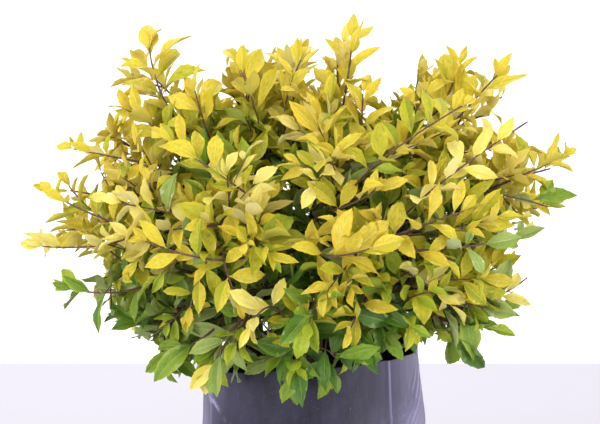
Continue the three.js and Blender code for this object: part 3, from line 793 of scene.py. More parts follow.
    def grow_twig(self, space, draw, root, way, length, turn, arch=0.03, size=1.0):
        """One twig with its own leaves and a few fine twigs on it."""
        tip = root + way * length
        if not space.holds(tip[None]):
            length *= 0.7
            tip = root + way * length
            if not space.holds(tip[None]):
                return
        azimuth = math.atan2(way[1], way[0])
        line = ShootPath(root, tip, azimuth, draw.around(arch, 0.06))
        light = self.light_at(tip, draw)
        leaf_size = size * draw.around(1.0, 0.12)
        leafy = self.dress(space, draw, line, TWIG_BARE, 1, leaf_size, light, turn)
        self.tips.append(tip)
        angle = math.radians(FINE_ANGLE)
        for k, fork in enumerate(FINE_SHARES):
            if draw() > length / ALL_FINE_LENGTH:
                continue
            fine_turn = turn + k * math.pi / 2 + draw.around(0, 0.5)
            start = line.point(fork)
            lift = 0.5 * lift_at(start[2]) + draw.around(0.05, 0.15)
            fine_way = way_from(line.frame(fork), angle, fine_turn, lift)
            fine_tip = start + fine_way * FINE_LENGTH * (1.1 - 0.5 * fork) * draw.around(1, 0.3)
            if not space.holds(fine_tip[None]):
                continue
            bearing = math.atan2(fine_way[1], fine_way[0])
            fine = ShootPath(start, fine_tip, bearing, draw.around(0.04, 0.06))
            tone = 0.5 * (light + self.light_at(fine_tip, draw))
            fine_size = size * draw.around(0.9, 0.14)
            fine_leafy = self.dress(space, draw, fine, FINE_BARE, 1, fine_size, tone, fine_turn)
            if fine_leafy > 0:
                self.rods["fine_twigs"].append((fine, 0, fine_leafy, FINE_TWIG_RADII))
                self.tips.append(fine_tip)
                leafy = max(leafy, fork)
        if leafy > 0:
            self.rods["side_twigs"].append((line, 0, leafy, SIDE_TWIG_RADII))

    def add_long_shoot(self, index, row):
        """A long shoot that passes through a place on its way, bare below. The bow of its line is
        set so that it passes that place at its own share of the way."""
        name, fork, via, tip, bare, last, light, size = row
        draw = Draws(LONG_SEEDS[0] + LONG_SEEDS[1] * index)
        start = self.paths[name].point(fork)
        via, tip = np.array(via, float), np.array(tip, float)
        span = tip - start
        line = ShootPath(start, tip, math.atan2(span[1], span[0]), 0)
        before, after = np.linalg.norm(via - start), np.linalg.norm(tip - via)
        t = before / (before + after)
        line.bow = (via - (1 - t) ** 2 * start - t**2 * tip) / (2 * t * (1 - t))
        line.length = float(before + after)
        self.rods["leading_shoots"].append((line, 0, 1, LONG_RADII))
        self.kept_clear = np.concatenate([self.kept_clear, line.point(np.linspace(bare, 1, 24))])
        self.tips.append(tip)
        return line, draw, bare, last, light, size

    def dress_long_shoot(self, line, draw, bare, last, light, size):
        """The leaves of a long shoot, which may lie close to the long shoots themselves."""
        held, self.kept_clear = self.kept_clear, NO_PLACES
        space = OpenSpace(0, free=True)
        ends = last > 0.95
        self.dress(space, draw, line, bare, last, size, light, TURN * draw(), ends, LONG_STEPS)
        self.kept_clear = held

    def fill(self, seed, tries, gap, lowest, wanted, size):
        """Twigs into the gaps: places are drawn at random, and one that is wanted and farther
        than the gap from every spray's tip gets a twig from the nearest shoot that can reach it."""
        draw, space = Draws(seed), OpenSpace(lowest - HANG)
        places, ways = [], []
        for shoot in self.shoots:
            t = np.linspace(0.5 * shoot.bare, shoot.leafy_end, 16)
            places.append(shoot.path.point(t))
            ways.append(shoot.path.along(t))
        places, ways = np.concatenate(places), np.concatenate(ways)
        for _ in range(tries):
            place = wanted(draw)
            if place is None:
                continue
            if np.linalg.norm(np.array(self.tips) - place, axis=1).min() < gap:
                continue
            span = place - places
            apart = np.linalg.norm(span, axis=1)
            ahead = (span * ways).sum(1) / np.maximum(apart, 1)
            cost = apart * (1.5 - 0.7 * ahead) + 1000 * (ahead < -0.1)
            best = int(cost.argmin())
            if not FILL_SHORTEST < apart[best] < FILL_LONGEST or ahead[best] < 0.05:
                continue
            way = span[best] / apart[best]
            self.grow_twig(space, draw, places[best], way, apart[best], TURN * draw(), 0.06, size)


def place_in(box, draw, nearest, farthest):
    """A random place in a box, or None if it is too low, too far in or too far out. Near the
    crown's top, places lie no farther out than HIGH_TO."""
    place = np.array([draw.around(*span) for span in box])
    high = smooth_step(*HIGH_LEVELS, place[2])
    most = farthest + min(HIGH_TO - farthest, 0) * high
    return place if nearest < outness(place) < most and place[2] > FILL_LOWEST else None


def gap_place(draw):
    """A place for a filling twig's tip: inside the crown, and deeper inside near its top."""
    return place_in(GAP_BOX, draw, FILL_FROM, FILL_TO)


def inner_place(draw):
    """A place for an inner twig's tip: in the shade between the boughs."""
    return place_in(INNER_BOX, draw, INNER_FROM, FILL_FROM)


def skirt_place(draw):
    """A place for a low twig's tip: in a ring round the bag's rim, lowest at the front left."""
    turn = 2 * math.pi * draw()
    front_left = 0.5 + 0.5 * math.cos(turn - math.radians(SKIRT_LOWEST_AT))
    reach = SKIRT_NEAR + (SKIRT_FAR - SKIRT_NEAR) * draw()
    height = SKIRT_LOW + (SKIRT_HIGH - SKIRT_LOW) * (1 - front_left * draw())
    return ring_place(reach, height, turn)


# Meshes


def leaf_mesh(leaves):
    """All leaves of a kind: places, faces and map places.

    A leaf's middle line is an arc that curls down by an angle: at share s it lies
    length * sin(curl s) / curl along and length * (1 - cos(curl s)) / curl below its root.
    Its half-width is the sine of pi s^widest, narrowed by a smooth step towards its stalk and
    notched behind each tooth. Across it, a point at column c is c * half-width * cos(fold) to
    the side and |c| * half-width * sin(fold) above the line, the edges wave by a sine along the
    leaf, and the section turns by the twist times s. The under face shares the outline and lies
    a thickness below the midrib."""
    data = np.array(leaves)
    root, aim, look = data[:, None, None, 0:3], data[:, None, None, 3:6], data[:, None, None, 6:9]
    numbers = data[:, 9:19].T[:, :, None, None]
    length, slender, fold, curl, bend, phase, wave, twist, widest, tile = numbers
    across = np.cross(aim, look)
    curl = np.where(np.abs(curl) < 1e-3, 1e-3, curl)
    s = LEAF_ROWS[:, None]
    width = np.sin(math.pi * s**widest) * smooth_step(-0.04, 0.3, s) * (1 + LEAF_TEETH[:, None])
    width = np.maximum(width, STALK_WIDTH * (s < 0.5))

    def sheet(c, drop):
        half = 0.5 * slender * length * width
        ripple = wave * length * np.sin(9.5 * s + phase + 1.7 * np.sign(c)) * np.abs(c) ** 2
        arch = 0.05 * length * slender * (np.abs(c) - c**2) * 4
        rise = np.abs(c) * half * np.sin(fold) + (ripple * 0.55 + arch) * width
        rise = rise - drop * (1 - np.abs(c)) * (s < 1)
        flat = c * half * np.cos(fold)
        x = flat * np.cos(twist * s) - rise * np.sin(twist * s) + bend * length * s**2
        rise = flat * np.sin(twist * s) + rise * np.cos(twist * s)
        y = length * np.sin(curl * s) / curl + np.sin(curl * s) * rise
        z = -(length * (1 - np.cos(curl * s)) / curl) + np.cos(curl * s) * rise
        return root + (x[..., None] * across + y[..., None] * aim + z[..., None] * look)

    def grid_faces(columns):
        """Four-cornered faces from row to row, and three-cornered ones at the tip."""
        rows = len(LEAF_ROWS) - 2
        a = (np.arange(rows)[:, None] * columns + np.arange(columns - 1)).ravel()
        b = rows * columns + np.arange(columns - 1)
        quads = np.stack([a, a + 1, a + columns + 1, a + columns], -1)
        return quads, np.stack([b, b + 1, np.full_like(b, (rows + 1) * columns)], -1)

    def map_places(columns, first_row):
        """The leaf's place on its tile: 8 tiles across the map and 4 along it, of which the
        lower two rows of tiles are upper faces and the other two are under faces."""
        u = tile % TILES_ACROSS + (0.5 + 0.46 * columns)
        v = np.floor(tile / TILES_ACROSS) + first_row + (0.03 + 0.94 * s)
        return np.stack(np.broadcast_arrays(u / TILES_ACROSS, v / TILES_ALONG), -1)

    corners, quads, tris, maps, offset = [], [], [], [], 0
    for columns, drop, first_row in ((LEAF_COLUMNS, 0, 0), (UNDER_COLUMNS, LEAF_THICKNESS, 2)):
        body = (len(LEAF_ROWS) - 1) * len(columns)
        order = np.r_[0:body, body + len(columns) // 2]
        places, uv = sheet(columns, drop), map_places(columns, first_row)
        corners.append(places.reshape(len(data), -1, 3)[:, order].reshape(-1, 3))
        maps.append(uv.reshape(len(data), -1, 2)[:, order].reshape(-1, 2))
        shift = offset + np.arange(len(data))[:, None, None] * (body + 1)
        for faces, part in zip((quads, tris), grid_faces(len(columns))):
            part = part[:, ::-1] if first_row else part
            faces.append((part + shift).reshape(-1, part.shape[1]))
        offset += len(data) * (body + 1)
    return [np.concatenate(part) for part in (corners, quads, tris, maps)]


def lattice_noise(points, seed=0):
    """Smooth noise from -1 to 1: each corner of a unit lattice has its own value, made from the
    fraction of a sine of its coordinates, and values between corners blend smoothly."""
    base = np.floor(points)
    part = points - base
    part = part * part * (3 - 2 * part)
    total = 0.0
    for corner in range(8):
        step = np.array([corner & 1, corner >> 1 & 1, corner >> 2 & 1])
        at = base + step
        mixed = np.sin(at @ np.array([12.9898, 78.233, 37.719]) + 4.1 * seed) * 43758.5453
        value = 2 * (mixed - np.floor(mixed)) - 1
        weight = np.where(step == 1, part, 1 - part).prod(-1)
        total = total + weight * value
    return total


def ring_quads(rings, around):
    """Four-cornered faces from each ring of places to the next."""
    here = np.arange(around)
    after = (here + 1) % around
    row = np.arange(rings - 1)[:, None] * around
    faces = [row + here, row + after, row + around + after, row + around + here]
    return np.stack(faces, -1).reshape(-1, 4)


def rod_mesh(rods, sides, steps, knots=0.0, bark=0.0):
    """All rods of a kind: rings of points round each line, at a radius that tapers along it.
    Knots swell the radius where pairs of leaves sit. Bark adds ridges: noise stretched along
    the rod. Each rod ends in a rounded tip, and its foot is closed."""
    turns = np.linspace(0, 2 * math.pi, sides, endpoint=False)
    share = np.linspace(0, 1, steps + 1)
    here = np.arange(sides)
    after = (here + 1) % sides
    corners, quads, tris, offset = [], [], [], 0
    for index, (path, start, end, radii) in enumerate(rods):
        t = start + (end - start) * share
        centre = path.point(t)
        along, side, above = path.frame(t)
        radius = radii(share) if callable(radii) else radii[0] + (radii[1] - radii[0]) * share
        inward = (1 - share) * (end - start) * path.length
        for step in NODE_STEPS[1:]:
            radius = radius * (1 + knots * bell(inward - step - FIRST_PAIR, KNOT_WIDTH))
        ring = np.cos(turns)[:, None] * above[:, None] + np.sin(turns)[:, None] * side[:, None]
        reach = radius[:, None]
        if bark:
            around = ring_place(2.2, (t * path.length)[:, None] / 14 + 31 * index, turns)
            fine = around * np.array([2.3, 2.3, 2.0])
            reach = reach * (1 + bark * (lattice_noise(around, 1) + 0.6 * lattice_noise(fine, 2)))
        points = centre[:, None] + ring * reach[..., None]
        foot = centre[:1] - along[:1] * radius[0] * 0.3
        tip = centre[-1:] + along[-1:] * radius[-1] * 0.8
        corners.append(np.concatenate([points.reshape(-1, 3), foot, tip]))
        quads.append(ring_quads(steps + 1, sides) + offset)
        last = offset + steps * sides
        ends = np.full(sides, last + sides)
        tris.append(np.stack([after + offset, here + offset, ends], -1))
        tris.append(np.stack([here + last, after + last, ends + 1], -1))
        offset += (steps + 1) * sides + 2
    return np.concatenate(corners), np.concatenate(quads)[:, ::-1], np.concatenate(tris)[:, ::-1]


def new_object(name, data):
    """An object in the scene for a mesh, a light or a camera."""
    item = bpy.data.objects.new(name, data)
    bpy.context.scene.collection.objects.link(item)
    return item


def mesh_object(name, material, corners, quads, tris, uv=None):
    """A smooth mesh from places in millimetres, four-cornered faces and three-cornered ones."""
    mesh = bpy.data.meshes.new(name)
    mesh.vertices.add(len(corners))
    mesh.vertices.foreach_set("co", (corners * MM).astype(np.float32).ravel())
    loops = np.concatenate([quads.ravel(), tris.ravel()]).astype(np.int32)
    mesh.loops.add(len(loops))
    mesh.loops.foreach_set("vertex_index", loops)
    quad_starts = np.arange(len(quads)) * 4
    tri_starts = quads.size + np.arange(len(tris)) * 3
    starts = np.concatenate([quad_starts, tri_starts]).astype(np.int32)
    mesh.polygons.add(len(starts))
    mesh.polygons.foreach_set("loop_start", starts)
    mesh.polygons.foreach_set("use_smooth", np.ones(len(starts), bool))
    mesh.update(calc_edges=True)
    if uv is not None:
        layer = mesh.uv_layers.new(name="OFBake")
        layer.uv.foreach_set("vector", uv[loops].astype(np.float32).ravel())
    mesh.validate()
    mesh.materials.append(material)
    return new_object(name, mesh)


def turned_surface(places):
    """A surface of rings: places has one row per ring and one column per azimuth, and its first
    and last rings are points on the axis."""
    return places.reshape(-1, 3), ring_quads(*places.shape[:2]), NO_FACES


# Materials


def operation(name, swapped=False):
    """A method that adds a Math node, with its operands the other way round if swapped."""

    def method(self, *others):
        return self.math(name, *others, self) if swapped else self.math(name, self, *others)

    return method


class Socket:
    """A shader socket in arithmetic: each operator adds a Math node."""

    __add__ = operation("ADD")
    __sub__ = operation("SUBTRACT")
    __mul__ = operation("MULTIPLY")
    __radd__ = operation("ADD", swapped=True)
    __rsub__ = operation("SUBTRACT", swapped=True)
    __rmul__ = operation("MULTIPLY", swapped=True)
    __abs__ = operation("ABSOLUTE")
    floor = operation("FLOOR")
    fraction = operation("FRACT")
    sine = operation("SINE")

    def __init__(self, shader, socket):
        self.shader, self.socket = shader, socket

    def math(self, kind, *values):
        node = self.shader.tree.nodes.new("ShaderNodeMath")
        node.operation = kind
        for slot, value in zip(node.inputs, values):
            self.shader.feed(slot, value)
        return Socket(self.shader, node.outputs[0])

    def clipped(self):
        return self.math("MAXIMUM", self.math("MINIMUM", self, 1.0), 0.0)

    def step(self, low, high):
        """0 below low and 1 above high, smooth between them; the other way round if low > high."""
        ends = {"From Min": min(low, high), "From Max": max(low, high)}
        ends.update({"To Min": float(low > high), "To Max": float(low < high)})
        settings = {"interpolation_type": "SMOOTHSTEP"}
        return self.shader.add("ShaderNodeMapRange", settings, Value=self, **ends)


class Shader:
    """A material whose surface is one Principled node, with a method that adds any node."""

    def __init__(self, name, **constants):
        self.material = bpy.data.materials.new(name)
        self.material.use_nodes = True
        self.tree = self.material.node_tree
        self.surface = self.tree.nodes["Principled BSDF"]
        self.output = self.tree.nodes["Material Output"]
        for key, value in constants.items():
            self.surface.inputs[key.replace("_", " ")].default_value = value

    def feed(self, slot, value):
        if isinstance(value, Socket):
            self.tree.links.new(value.socket, slot)
        else:
            slot.default_value = value

    def add(self, kind, settings=None, out=0, **values):
        """A node of a kind: its settings are set first, then its inputs by name."""
        node = self.tree.nodes.new(kind)
        for key, value in (settings or {}).items():
            setattr(node, key, value)
        for key, value in values.items():
            self.feed(node.inputs[key.replace("_", " ")], value)
        return Socket(self, node.outputs[out])

    def split(self, vector):
        node = self.tree.nodes.new("ShaderNodeSeparateXYZ")
        self.feed(node.inputs[0], vector)
        return [Socket(self, out) for out in node.outputs]

    def mix(self, share, first, second, blend="MIX"):
        """The first colour where share is 0 and the second, or their blend, where it is 1."""
        mixed = self.add("ShaderNodeMix", {"data_type": "RGBA", "blend_type": blend}, out=2)
        slots = mixed.socket.node.inputs
        for slot, value in zip((slots[0], slots[6], slots[7]), (share, first, second)):
            self.feed(slot, value)
        return mixed

    def noise(self, vector, scale, detail, rough=0.5):
        return self.add("ShaderNodeTexNoise", Vector=vector, Scale=scale, Detail=detail, Roughness=rough)

    def bump(self, height, distance, strength=1.0):
        return self.add("ShaderNodeBump", Height=height, Distance=distance, Strength=strength)

    def set(self, **values):
        """Feeds the surface's own inputs."""
        for key, value in values.items():
            self.feed(self.surface.inputs[key.replace("_", " ")], value)


def shade(red, green, blue):
    """A colour from its usual numbers of 0 to 255, as the linear numbers that shaders take."""
    parts = np.array([red, green, blue]) / 255
    linear = np.where(parts <= 0.04045, parts / 12.92, ((parts + 0.055) / 1.055) ** 2.4)
    return (*map(float, linear), 1.0)


def leaf_material(name, face, deep, under, through, edge, gloss):
    """A leaf: each tile of its map has a tone of its own, a pale midrib and fine side veins, one
    half may be deeper in colour and the margin warmer, fine speckles lie over all, and the under
    face is paler and duller. Light shines through."""
    s = Shader(name, Coat_Weight=0.0, IOR=gloss)
    place = s.add("ShaderNodeUVMap", {"uv_map": "OFBake"})
    u, v, _ = s.split(place)
    across, along = u * TILES_ACROSS, v * TILES_ALONG
    tile_x, tile_y = across.floor(), along.floor()
    a, b = across.fraction() - 0.5, along.fraction()
    is_under = tile_y.step(1.4, 1.6)
    seat = s.add("ShaderNodeCombineXYZ", X=tile_x * 0.37 + 0.11, Y=tile_y * 0.59 + 0.23)
    one = s.add("ShaderNodeTexWhiteNoise", {"noise_dimensions": "2D"}, Vector=seat)
    hue, half_deep, tip_deep = s.split(Socket(s, one.socket.node.outputs["Color"]))
    side = abs(a)
    midrib = side.step(0.032, 0.008) * b.step(1.0, 0.55)
    lines = ((b - 0.75 * side) * 50.0).sine()
    veins = lines.step(0.82, 1.0) * side.step(0.46, 0.2) * side.step(0.02, 0.06)
    spread = s.add("ShaderNodeCombineXYZ", X=u * 40.0, Y=v * 22.0)
    mottle = s.noise(spread, 1.6, 2.0)
    speckle = s.noise(spread, 7.0, 3.0, 0.65)
    deeper = half_deep.step(0.5, 0.9) * a.step(-0.04, 0.04) * 0.8
    deeper = deeper + tip_deep.step(0.55, 1.0) * b.step(0.5, 0.1) * 0.8
    blotch = (mottle - 0.5) * 2.0 + (speckle - 0.5) * 2.2 + hue * 0.7 - 0.24
    top = s.mix((deeper + blotch).clipped(), face, deep)
    warm = (hue * 7.13).fraction().step(0.35, 0.8)
    margin = (side + 0.5 * (mottle - 0.5)).step(0.22, 0.46)
    top = s.mix(warm * margin * 0.75, top, edge)
    top = s.mix(midrib * 0.75, top, under)
    top = s.mix(veins * 0.3, top, under)
    below = s.mix((blotch * 0.6 + 0.05).clipped(), under, face)
    below = s.mix(midrib * 0.6, below, tuple(min(1.0, c * 1.15) for c in under))
    both = s.mix(is_under, top, below)
    tone = 0.77 + 0.24 * one + 0.18 * speckle
    grey = s.add("ShaderNodeCombineColor", Red=tone, Green=tone, Blue=tone)
    final = s.mix(1.0, both, grey, "MULTIPLY")
    height = (0.5 * veins + 0.25 * midrib) * (2.0 * is_under - 1.0) + 0.35 * mottle
    normal = s.bump(height, 0.0006)
    s.set(Base_Color=final, Roughness=0.42 + 0.2 * is_under + 0.1 * mottle, Normal=normal)
    glow = s.add("ShaderNodeBsdfTranslucent", Color=s.mix(0.35, final, through), Normal=normal)
    both_ways = s.add("ShaderNodeMixShader")
    surface = Socket(s, s.surface.outputs[0])
    for slot, value in zip(both_ways.socket.node.inputs, (LIGHT_THROUGH, surface, glow)):
        s.feed(slot, value)
    s.feed(s.output.inputs["Surface"], both_ways)
    return s.material


def wood_material(name, young, old, roughness):
    """Bark: two browns mixed by noise stretched along the shoots, with small pale pores."""
    s = Shader(name, IOR=1.45)
    place = s.add("ShaderNodeTexCoord", out=3)
    broad = s.noise(place, 55.0, 4.0)
    fine = s.noise(place, 420.0, 3.0)
    share = (1.6 * broad + 0.8 * fine - 0.75).clipped()
    colour = s.mix(share, young, old)
    pores = s.add("ShaderNodeTexVoronoi", Vector=place, Scale=260.0)
    colour = s.mix(pores.step(0.22, 0.1) * 0.45, colour, shade(178, 152, 128))
    s.set(Base_Color=colour, Roughness=roughness + 0.2 * (fine - 0.5))
    s.set(Normal=s.bump(fine + 0.5 * broad, 0.0005))
    return s.material


def film_material():
    """Soft polythene film: dark slate violet with faint clouding, fine crumples and a soft shine, and
    a painted sheen: paler streaked areas, with painted highlights along its laps and wrinkles."""
    s = Shader("film", IOR=1.32, Coat_Roughness=0.36, Coat_Weight=0.06)
    place = s.add("ShaderNodeTexCoord", out=3)
    cloud = s.noise(place, 9.0, 4.0)
    stretched = s.add("ShaderNodeMapping", Vector=place, Scale=(1.0, 1.0, 0.22))
    fine = s.noise(stretched, 120.0, 5.0, 0.62)
    crumple = s.noise(place, 46.0, 5.0, 0.6)
    dust = s.noise(place, 900.0, 2.0)
    # The film's painted sheen and painted highlights, read from the mesh
    white = s.add("ShaderNodeAttribute", {"attribute_name": "painted_sheen"}, out=2)
    colour = s.mix(cloud.step(0.36, 0.66), shade(11, 9, 21), shade(22, 19, 37))
    colour = s.mix((0.4 * fine + 0.3 * crumple - 0.27).clipped(), colour, shade(78, 74, 106))
    # Painted sheen and highlights: the film paled towards a light violet
    colour = s.mix((white * (0.4 + 0.7 * cloud)).clipped(), colour, shade(146, 140, 174))
    colour = s.mix(dust.step(0.7, 0.78) * 0.5, colour, shade(165, 162, 176))
    s.set(Base_Color=colour, Roughness=0.44 + 0.18 * cloud - 0.05 * fine)
    s.set(Normal=s.bump(fine * 0.6 + crumple, 0.0016, 0.6))
    return s.material


def soil_material():
    """Moist potting soil: near-black brown with lighter fibres and a few pale grains."""
    s = Shader("soil", IOR=1.4)
    place = s.add("ShaderNodeTexCoord", out=3)
    clods = s.noise(place, 90.0, 5.0, 0.65)
    grains = s.add("ShaderNodeTexVoronoi", Vector=place, Scale=190.0)
    colour = s.mix(clods.step(0.35, 0.7), shade(24, 17, 12), shade(66, 48, 34))
    colour = s.mix(grains.step(0.2, 0.08) * 0.5, colour, shade(150, 132, 104))
    s.set(Base_Color=colour, Roughness=0.82 + 0.15 * clods)
    s.set(Normal=s.bump(clods + 0.4 * grains, 0.003))
    return s.material


def floor_material():
    """A plain pale floor, very slightly mottled."""
    s = Shader("pale_floor", Roughness=0.7)
    place = s.add("ShaderNodeTexCoord", out=3)
    faint = s.noise(place, 3.0, 2.0)
    s.set(Base_Color=s.mix(faint, shade(175, 172, 182), shade(180, 177, 187)))
    return s.material


# The bag and the soil


def crease_lift(azimuth):
    """How far the creases lift the film: a bell curve of 13 degrees round each crease."""
    away = [degrees_from(fold, azimuth) for fold in CREASE_AZIMUTHS]
    return sum(CREASE_HEIGHT * bell(part, CREASE_WIDTH) for part in away)


def bag_radius(height):
    """The wall's radius: a rounded foot, then a straight wall that bulges by a half sine."""
    corner = np.maximum(0, FOOT_ROUNDING - height) / FOOT_ROUNDING
    foot = FOOT_RADIUS + FOOT_ROUNDING * np.sqrt(np.maximum(0, 1 - corner**2))
    bulge = BAG_BULGE * np.sin(math.pi * np.minimum(1, height / RIM_HEIGHT))
    return np.minimum(foot, BAG_RADIUS - 1) + bulge


def wrinkle_wave(row, azimuth, height):
    """The wave of a row of slanting wrinkles, from 0 to 1, and the bell curve it lies under. The
    wave is a cosine of the azimuth plus the lean times the height, and slow noise lets it waver."""
    middle, level, width, tall, pitch, lean = row[:6]
    side = degrees_from(middle, azimuth) - lean * (height - level)
    side = side + 3.2 * lattice_noise(ring_place(3.6, height / 34, azimuth), 31)
    wave = 0.5 + 0.5 * np.cos(2 * math.pi * side / pitch)
    return wave, np.exp(-((side / width) ** 2) - ((height - level) / tall) ** 2)


def folds(azimuth, height):
    """Lengthwise folds and slanting wrinkles of the film, in mm outward.

    At each lap the radius climbs over one degree to a thin ridge, where the film is folded on
    itself, and sinks back beyond it by a falling exponential. Slanting wrinkles are the cube of
    their wave, under its bell curve. Below the rim one side swells by a bell curve, and the wall
    has low, slow noise. All of it fades out at the foot."""
    lap = 0.0
    for middle, sign, deep in FILM_LAPS:
        side = sign * degrees_from(middle, azimuth)
        ramp = smooth_step(-0.6, 0.6, side) * np.exp(-np.maximum(side, 0) / 13)
        lap = lap + deep * ramp + 0.8 * bell(side - 0.8, 0.7)
    slant = 0.0
    for row in FILM_WRINKLES:
        wave, under = wrinkle_wave(row, azimuth, height)
        slant = slant + row[6] * wave**3 * under
    around = ring_place(2.2, height / 70, azimuth)
    slow = lattice_noise(around, 5) + 0.45 * lattice_noise(around * 2.7, 6)
    fine = lattice_noise(around * np.array([9, 9, 3.2]), 7)
    middle, width, most = FILM_SWELL
    swell = most * bell(degrees_from(middle, azimuth), width) * smooth_step(245, 165, height)
    return smooth_step(0, 25, height) * (lap + slant + swell + slow + 0.22 * fine)


def film_painted_sheen(azimuth, height):
    """How much painted sheen and painted highlight lie on the film, from 0 to 1 or so.

    Along the crest of each lap it is a narrow bell curve of the azimuth: a painted highlight. Along
    each slanting wrinkle it is its wave raised to a high power, under its bell curve: a painted
    highlight too. Each area of painted sheen is a smooth step of the azimuth. Noise, and streaks of it
    stretched up the wall, break all of them up."""
    white = 0.0
    for middle, most, narrow, wide in PAINTED_SHEEN_AREAS:
        white = white + most * smooth_step(wide, narrow, np.abs(degrees_from(middle, azimuth)))
    around = ring_place(30, height / 60, azimuth)
    streaks = 0.5 + 0.5 * lattice_noise(around, 21) + 0.3 * lattice_noise(around * 2.3, 22)
    patches = ring_place(3, height / 45, azimuth)
    white = white * np.clip(0.66 + 0.16 * streaks + 0.4 * lattice_noise(patches, 23), 0, 2)
    # Painted highlights along the crest of each lap
    for middle, sign, _ in FILM_LAPS:
        line = bell(sign * degrees_from(middle, azimuth) - 0.7, 0.45)
        white = white + LAP_PAINTED_HIGHLIGHT * line * np.clip(0.4 + streaks, 0, 1.3)
    patchy = np.clip(0.35 + 1.3 * lattice_noise(patches * 2.4, 24), 0, 1)
    # Painted highlights along the crests of the slanting wrinkles
    for row in FILM_WRINKLES:
        wave, under = wrinkle_wave(row, azimuth, height)
        white = white + row[7] * wave**10 * under * patchy
    return white


def bag_places(azimuths, rings):
    """The bag's rings, each from its radius, height and the share to which it counts as wall,
    which gives it creases, folds and an uneven rim."""
    places = []
    for radius, height, wall, _ in rings:
        z = np.full_like(azimuths, height)
        r = np.full_like(azimuths, radius)
        if wall > 0:
            crease = crease_lift(azimuths) * wall * smooth_step(0, CREASE_START, z)
            r = r + crease + wall * (folds(azimuths, z) - 1.1)
            rim = RIM_TILT * np.cos(azimuths) - RIM_SAG * np.cos(2 * azimuths)
            around = ring_place(3, 0, azimuths)
            rim = rim + 1.6 * lattice_noise(around, 9) + 0.7 * lattice_noise(3 * around, 10)
            z = z + rim * smooth_step(SOIL_HEIGHT + 4, RIM_HEIGHT, z)
        places.append(ring_place(r, z, azimuths))
    return np.array(places)


def make_bag():
    """The bag from its underside up its outer wall, over the rim and down inside to a floor under
    the soil's top. Each ring is (radius, height, share of wall, whether it is outside)."""
    azimuths = np.linspace(0, 2 * math.pi, FILM_COLUMNS, endpoint=False)
    heights = np.concatenate([np.linspace(0.8, 14, 8), np.linspace(17, 246, 92)])
    rings = [(radius, 0.0, 0, True) for radius in (0.0, 40.0, 80.0, FOOT_RADIUS - 1)]
    rings += [(bag_radius(h), h, smooth_step(0, 12, h), True) for h in heights]
    lip = bag_radius(250.0)
    rings += [(lip, 249.4, 1, True), (lip - 0.05, 251.4, 1, True), (lip - 0.45, 252.0, 1, True)]
    rings += [(lip - 0.85, 251.4, 1, True), (lip - FILM_THICKNESS, 249.0, 1, True)]
    rings += [(bag_radius(h) - FILM_THICKNESS, h, 1, False) for h in np.linspace(244, 205, 18)]
    rings += [(radius, INSIDE_FLOOR, 0, False) for radius in (100.0, 50.0, 0.0)]
    surface = turned_surface(bag_places(azimuths, rings))
    piece = add_piece("grow_bag_film", surface, film_material(), "film", "bag")
    outside = np.array([ring[2] > 0 and ring[3] for ring in rings])[:, None]
    levels = np.array([float(ring[1]) for ring in rings])[:, None]
    # Painted sheen and highlights, on the outside of the wall only
    white = np.where(outside, film_painted_sheen(azimuths[None], levels), 0.0)
    layer = piece.data.attributes.new("painted_sheen", "FLOAT", "POINT")
    layer.data.foreach_set("value", white.astype(np.float32).ravel())


def make_soil():
    """The soil's top: a disc of rings, lifted by three sizes of noise, with its side and bottom."""
    azimuths = np.linspace(0, 2 * math.pi, 300, endpoint=False)
    places = []
    for radius in np.linspace(0, 117.5, 90):
        flat = ring_place(radius, 0, azimuths)
        crumbs = 1.8 * lattice_noise(flat / 14, 11) + 1.1 * lattice_noise(flat / 5.5, 12)
        crumbs = crumbs + 0.5 * lattice_noise(flat / 2.4, 13)
        away = smooth_step(12, 26, radius)
        z = SOIL_HEIGHT - SOIL_DIP * smooth_step(30, 110, radius) + (crumbs - 0.4) * away
        places.append(ring_place(radius, z, azimuths))
    for radius, height in ((116.5, 208.0), (60.0, 207.0), (0.0, 207.0)):
        places.append(ring_place(radius, height, azimuths))
    corners, quads, tris = turned_surface(np.array(places))
    add_piece("soil_top", (corners, quads[:, ::-1], tris), soil_material(), "soil", "soil")


# Wood's thickness, and pieces of the plant


def slim_radius(share):
    """A leading shoot starts as thick as its bough's end and thins by a falling exponential."""
    return SHOOT_SLIM_RADIUS + (MASS_RADIUS - SHOOT_SLIM_RADIUS) * np.exp(-3.2 * share)


def stem_radius(share):
    """The stem tapers evenly and flares by a falling exponential at the soil."""
    flare = ROOT_FLARE * np.exp(-share * STEM_HEIGHT * 2.2 / FLARE_HEIGHT)
    return STEM_FOOT_RADIUS + (STEM_TOP_RADIUS - STEM_FOOT_RADIUS) * share + flare


def add_piece(name, mesh, material, slot, *nodes):
    """A visible piece that rides on the plant's one body, and the nodes that it replaces."""
    piece = mesh_object(name, material, *mesh)
    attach(piece, "root")
    if nodes:
        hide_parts(*nodes)
    return piece


# All shoots, long shoots and their leaves
paths = {"stem": StemPath()}
shoots = [Shoot(index, row, paths) for index, row in enumerate(SHOOTS)]
crown = Crown(shoots, paths)
long_shoots = [crown.add_long_shoot(index, row) for index, row in enumerate(LONG_SHOOTS)]
for long_shoot in long_shoots:
    crown.dress_long_shoot(*long_shoot)
for shoot in shoots:
    crown.grow(shoot)

# Each round of filling twigs: seed, tries, least gap between tips, lowest tip, place, leaf size
crown.fill(4077, 3600, 33, FILL_LOWEST, gap_place, 1.0)
crown.fill(5501, 900, 38, FILL_LOWEST, inner_place, 1.25)
crown.fill(6151, 900, 31, SKIRT_LOW, skirt_place, 1.2)

# Wood
old_wood = wood_material("old_bark", shade(104, 78, 62), shade(62, 44, 36), 0.78)
shoot_wood = wood_material("shoot_bark", shade(102, 64, 56), shade(62, 38, 40), 0.6)
twig_wood = wood_material("twig_bark", shade(122, 106, 62), shade(92, 62, 58), 0.55)

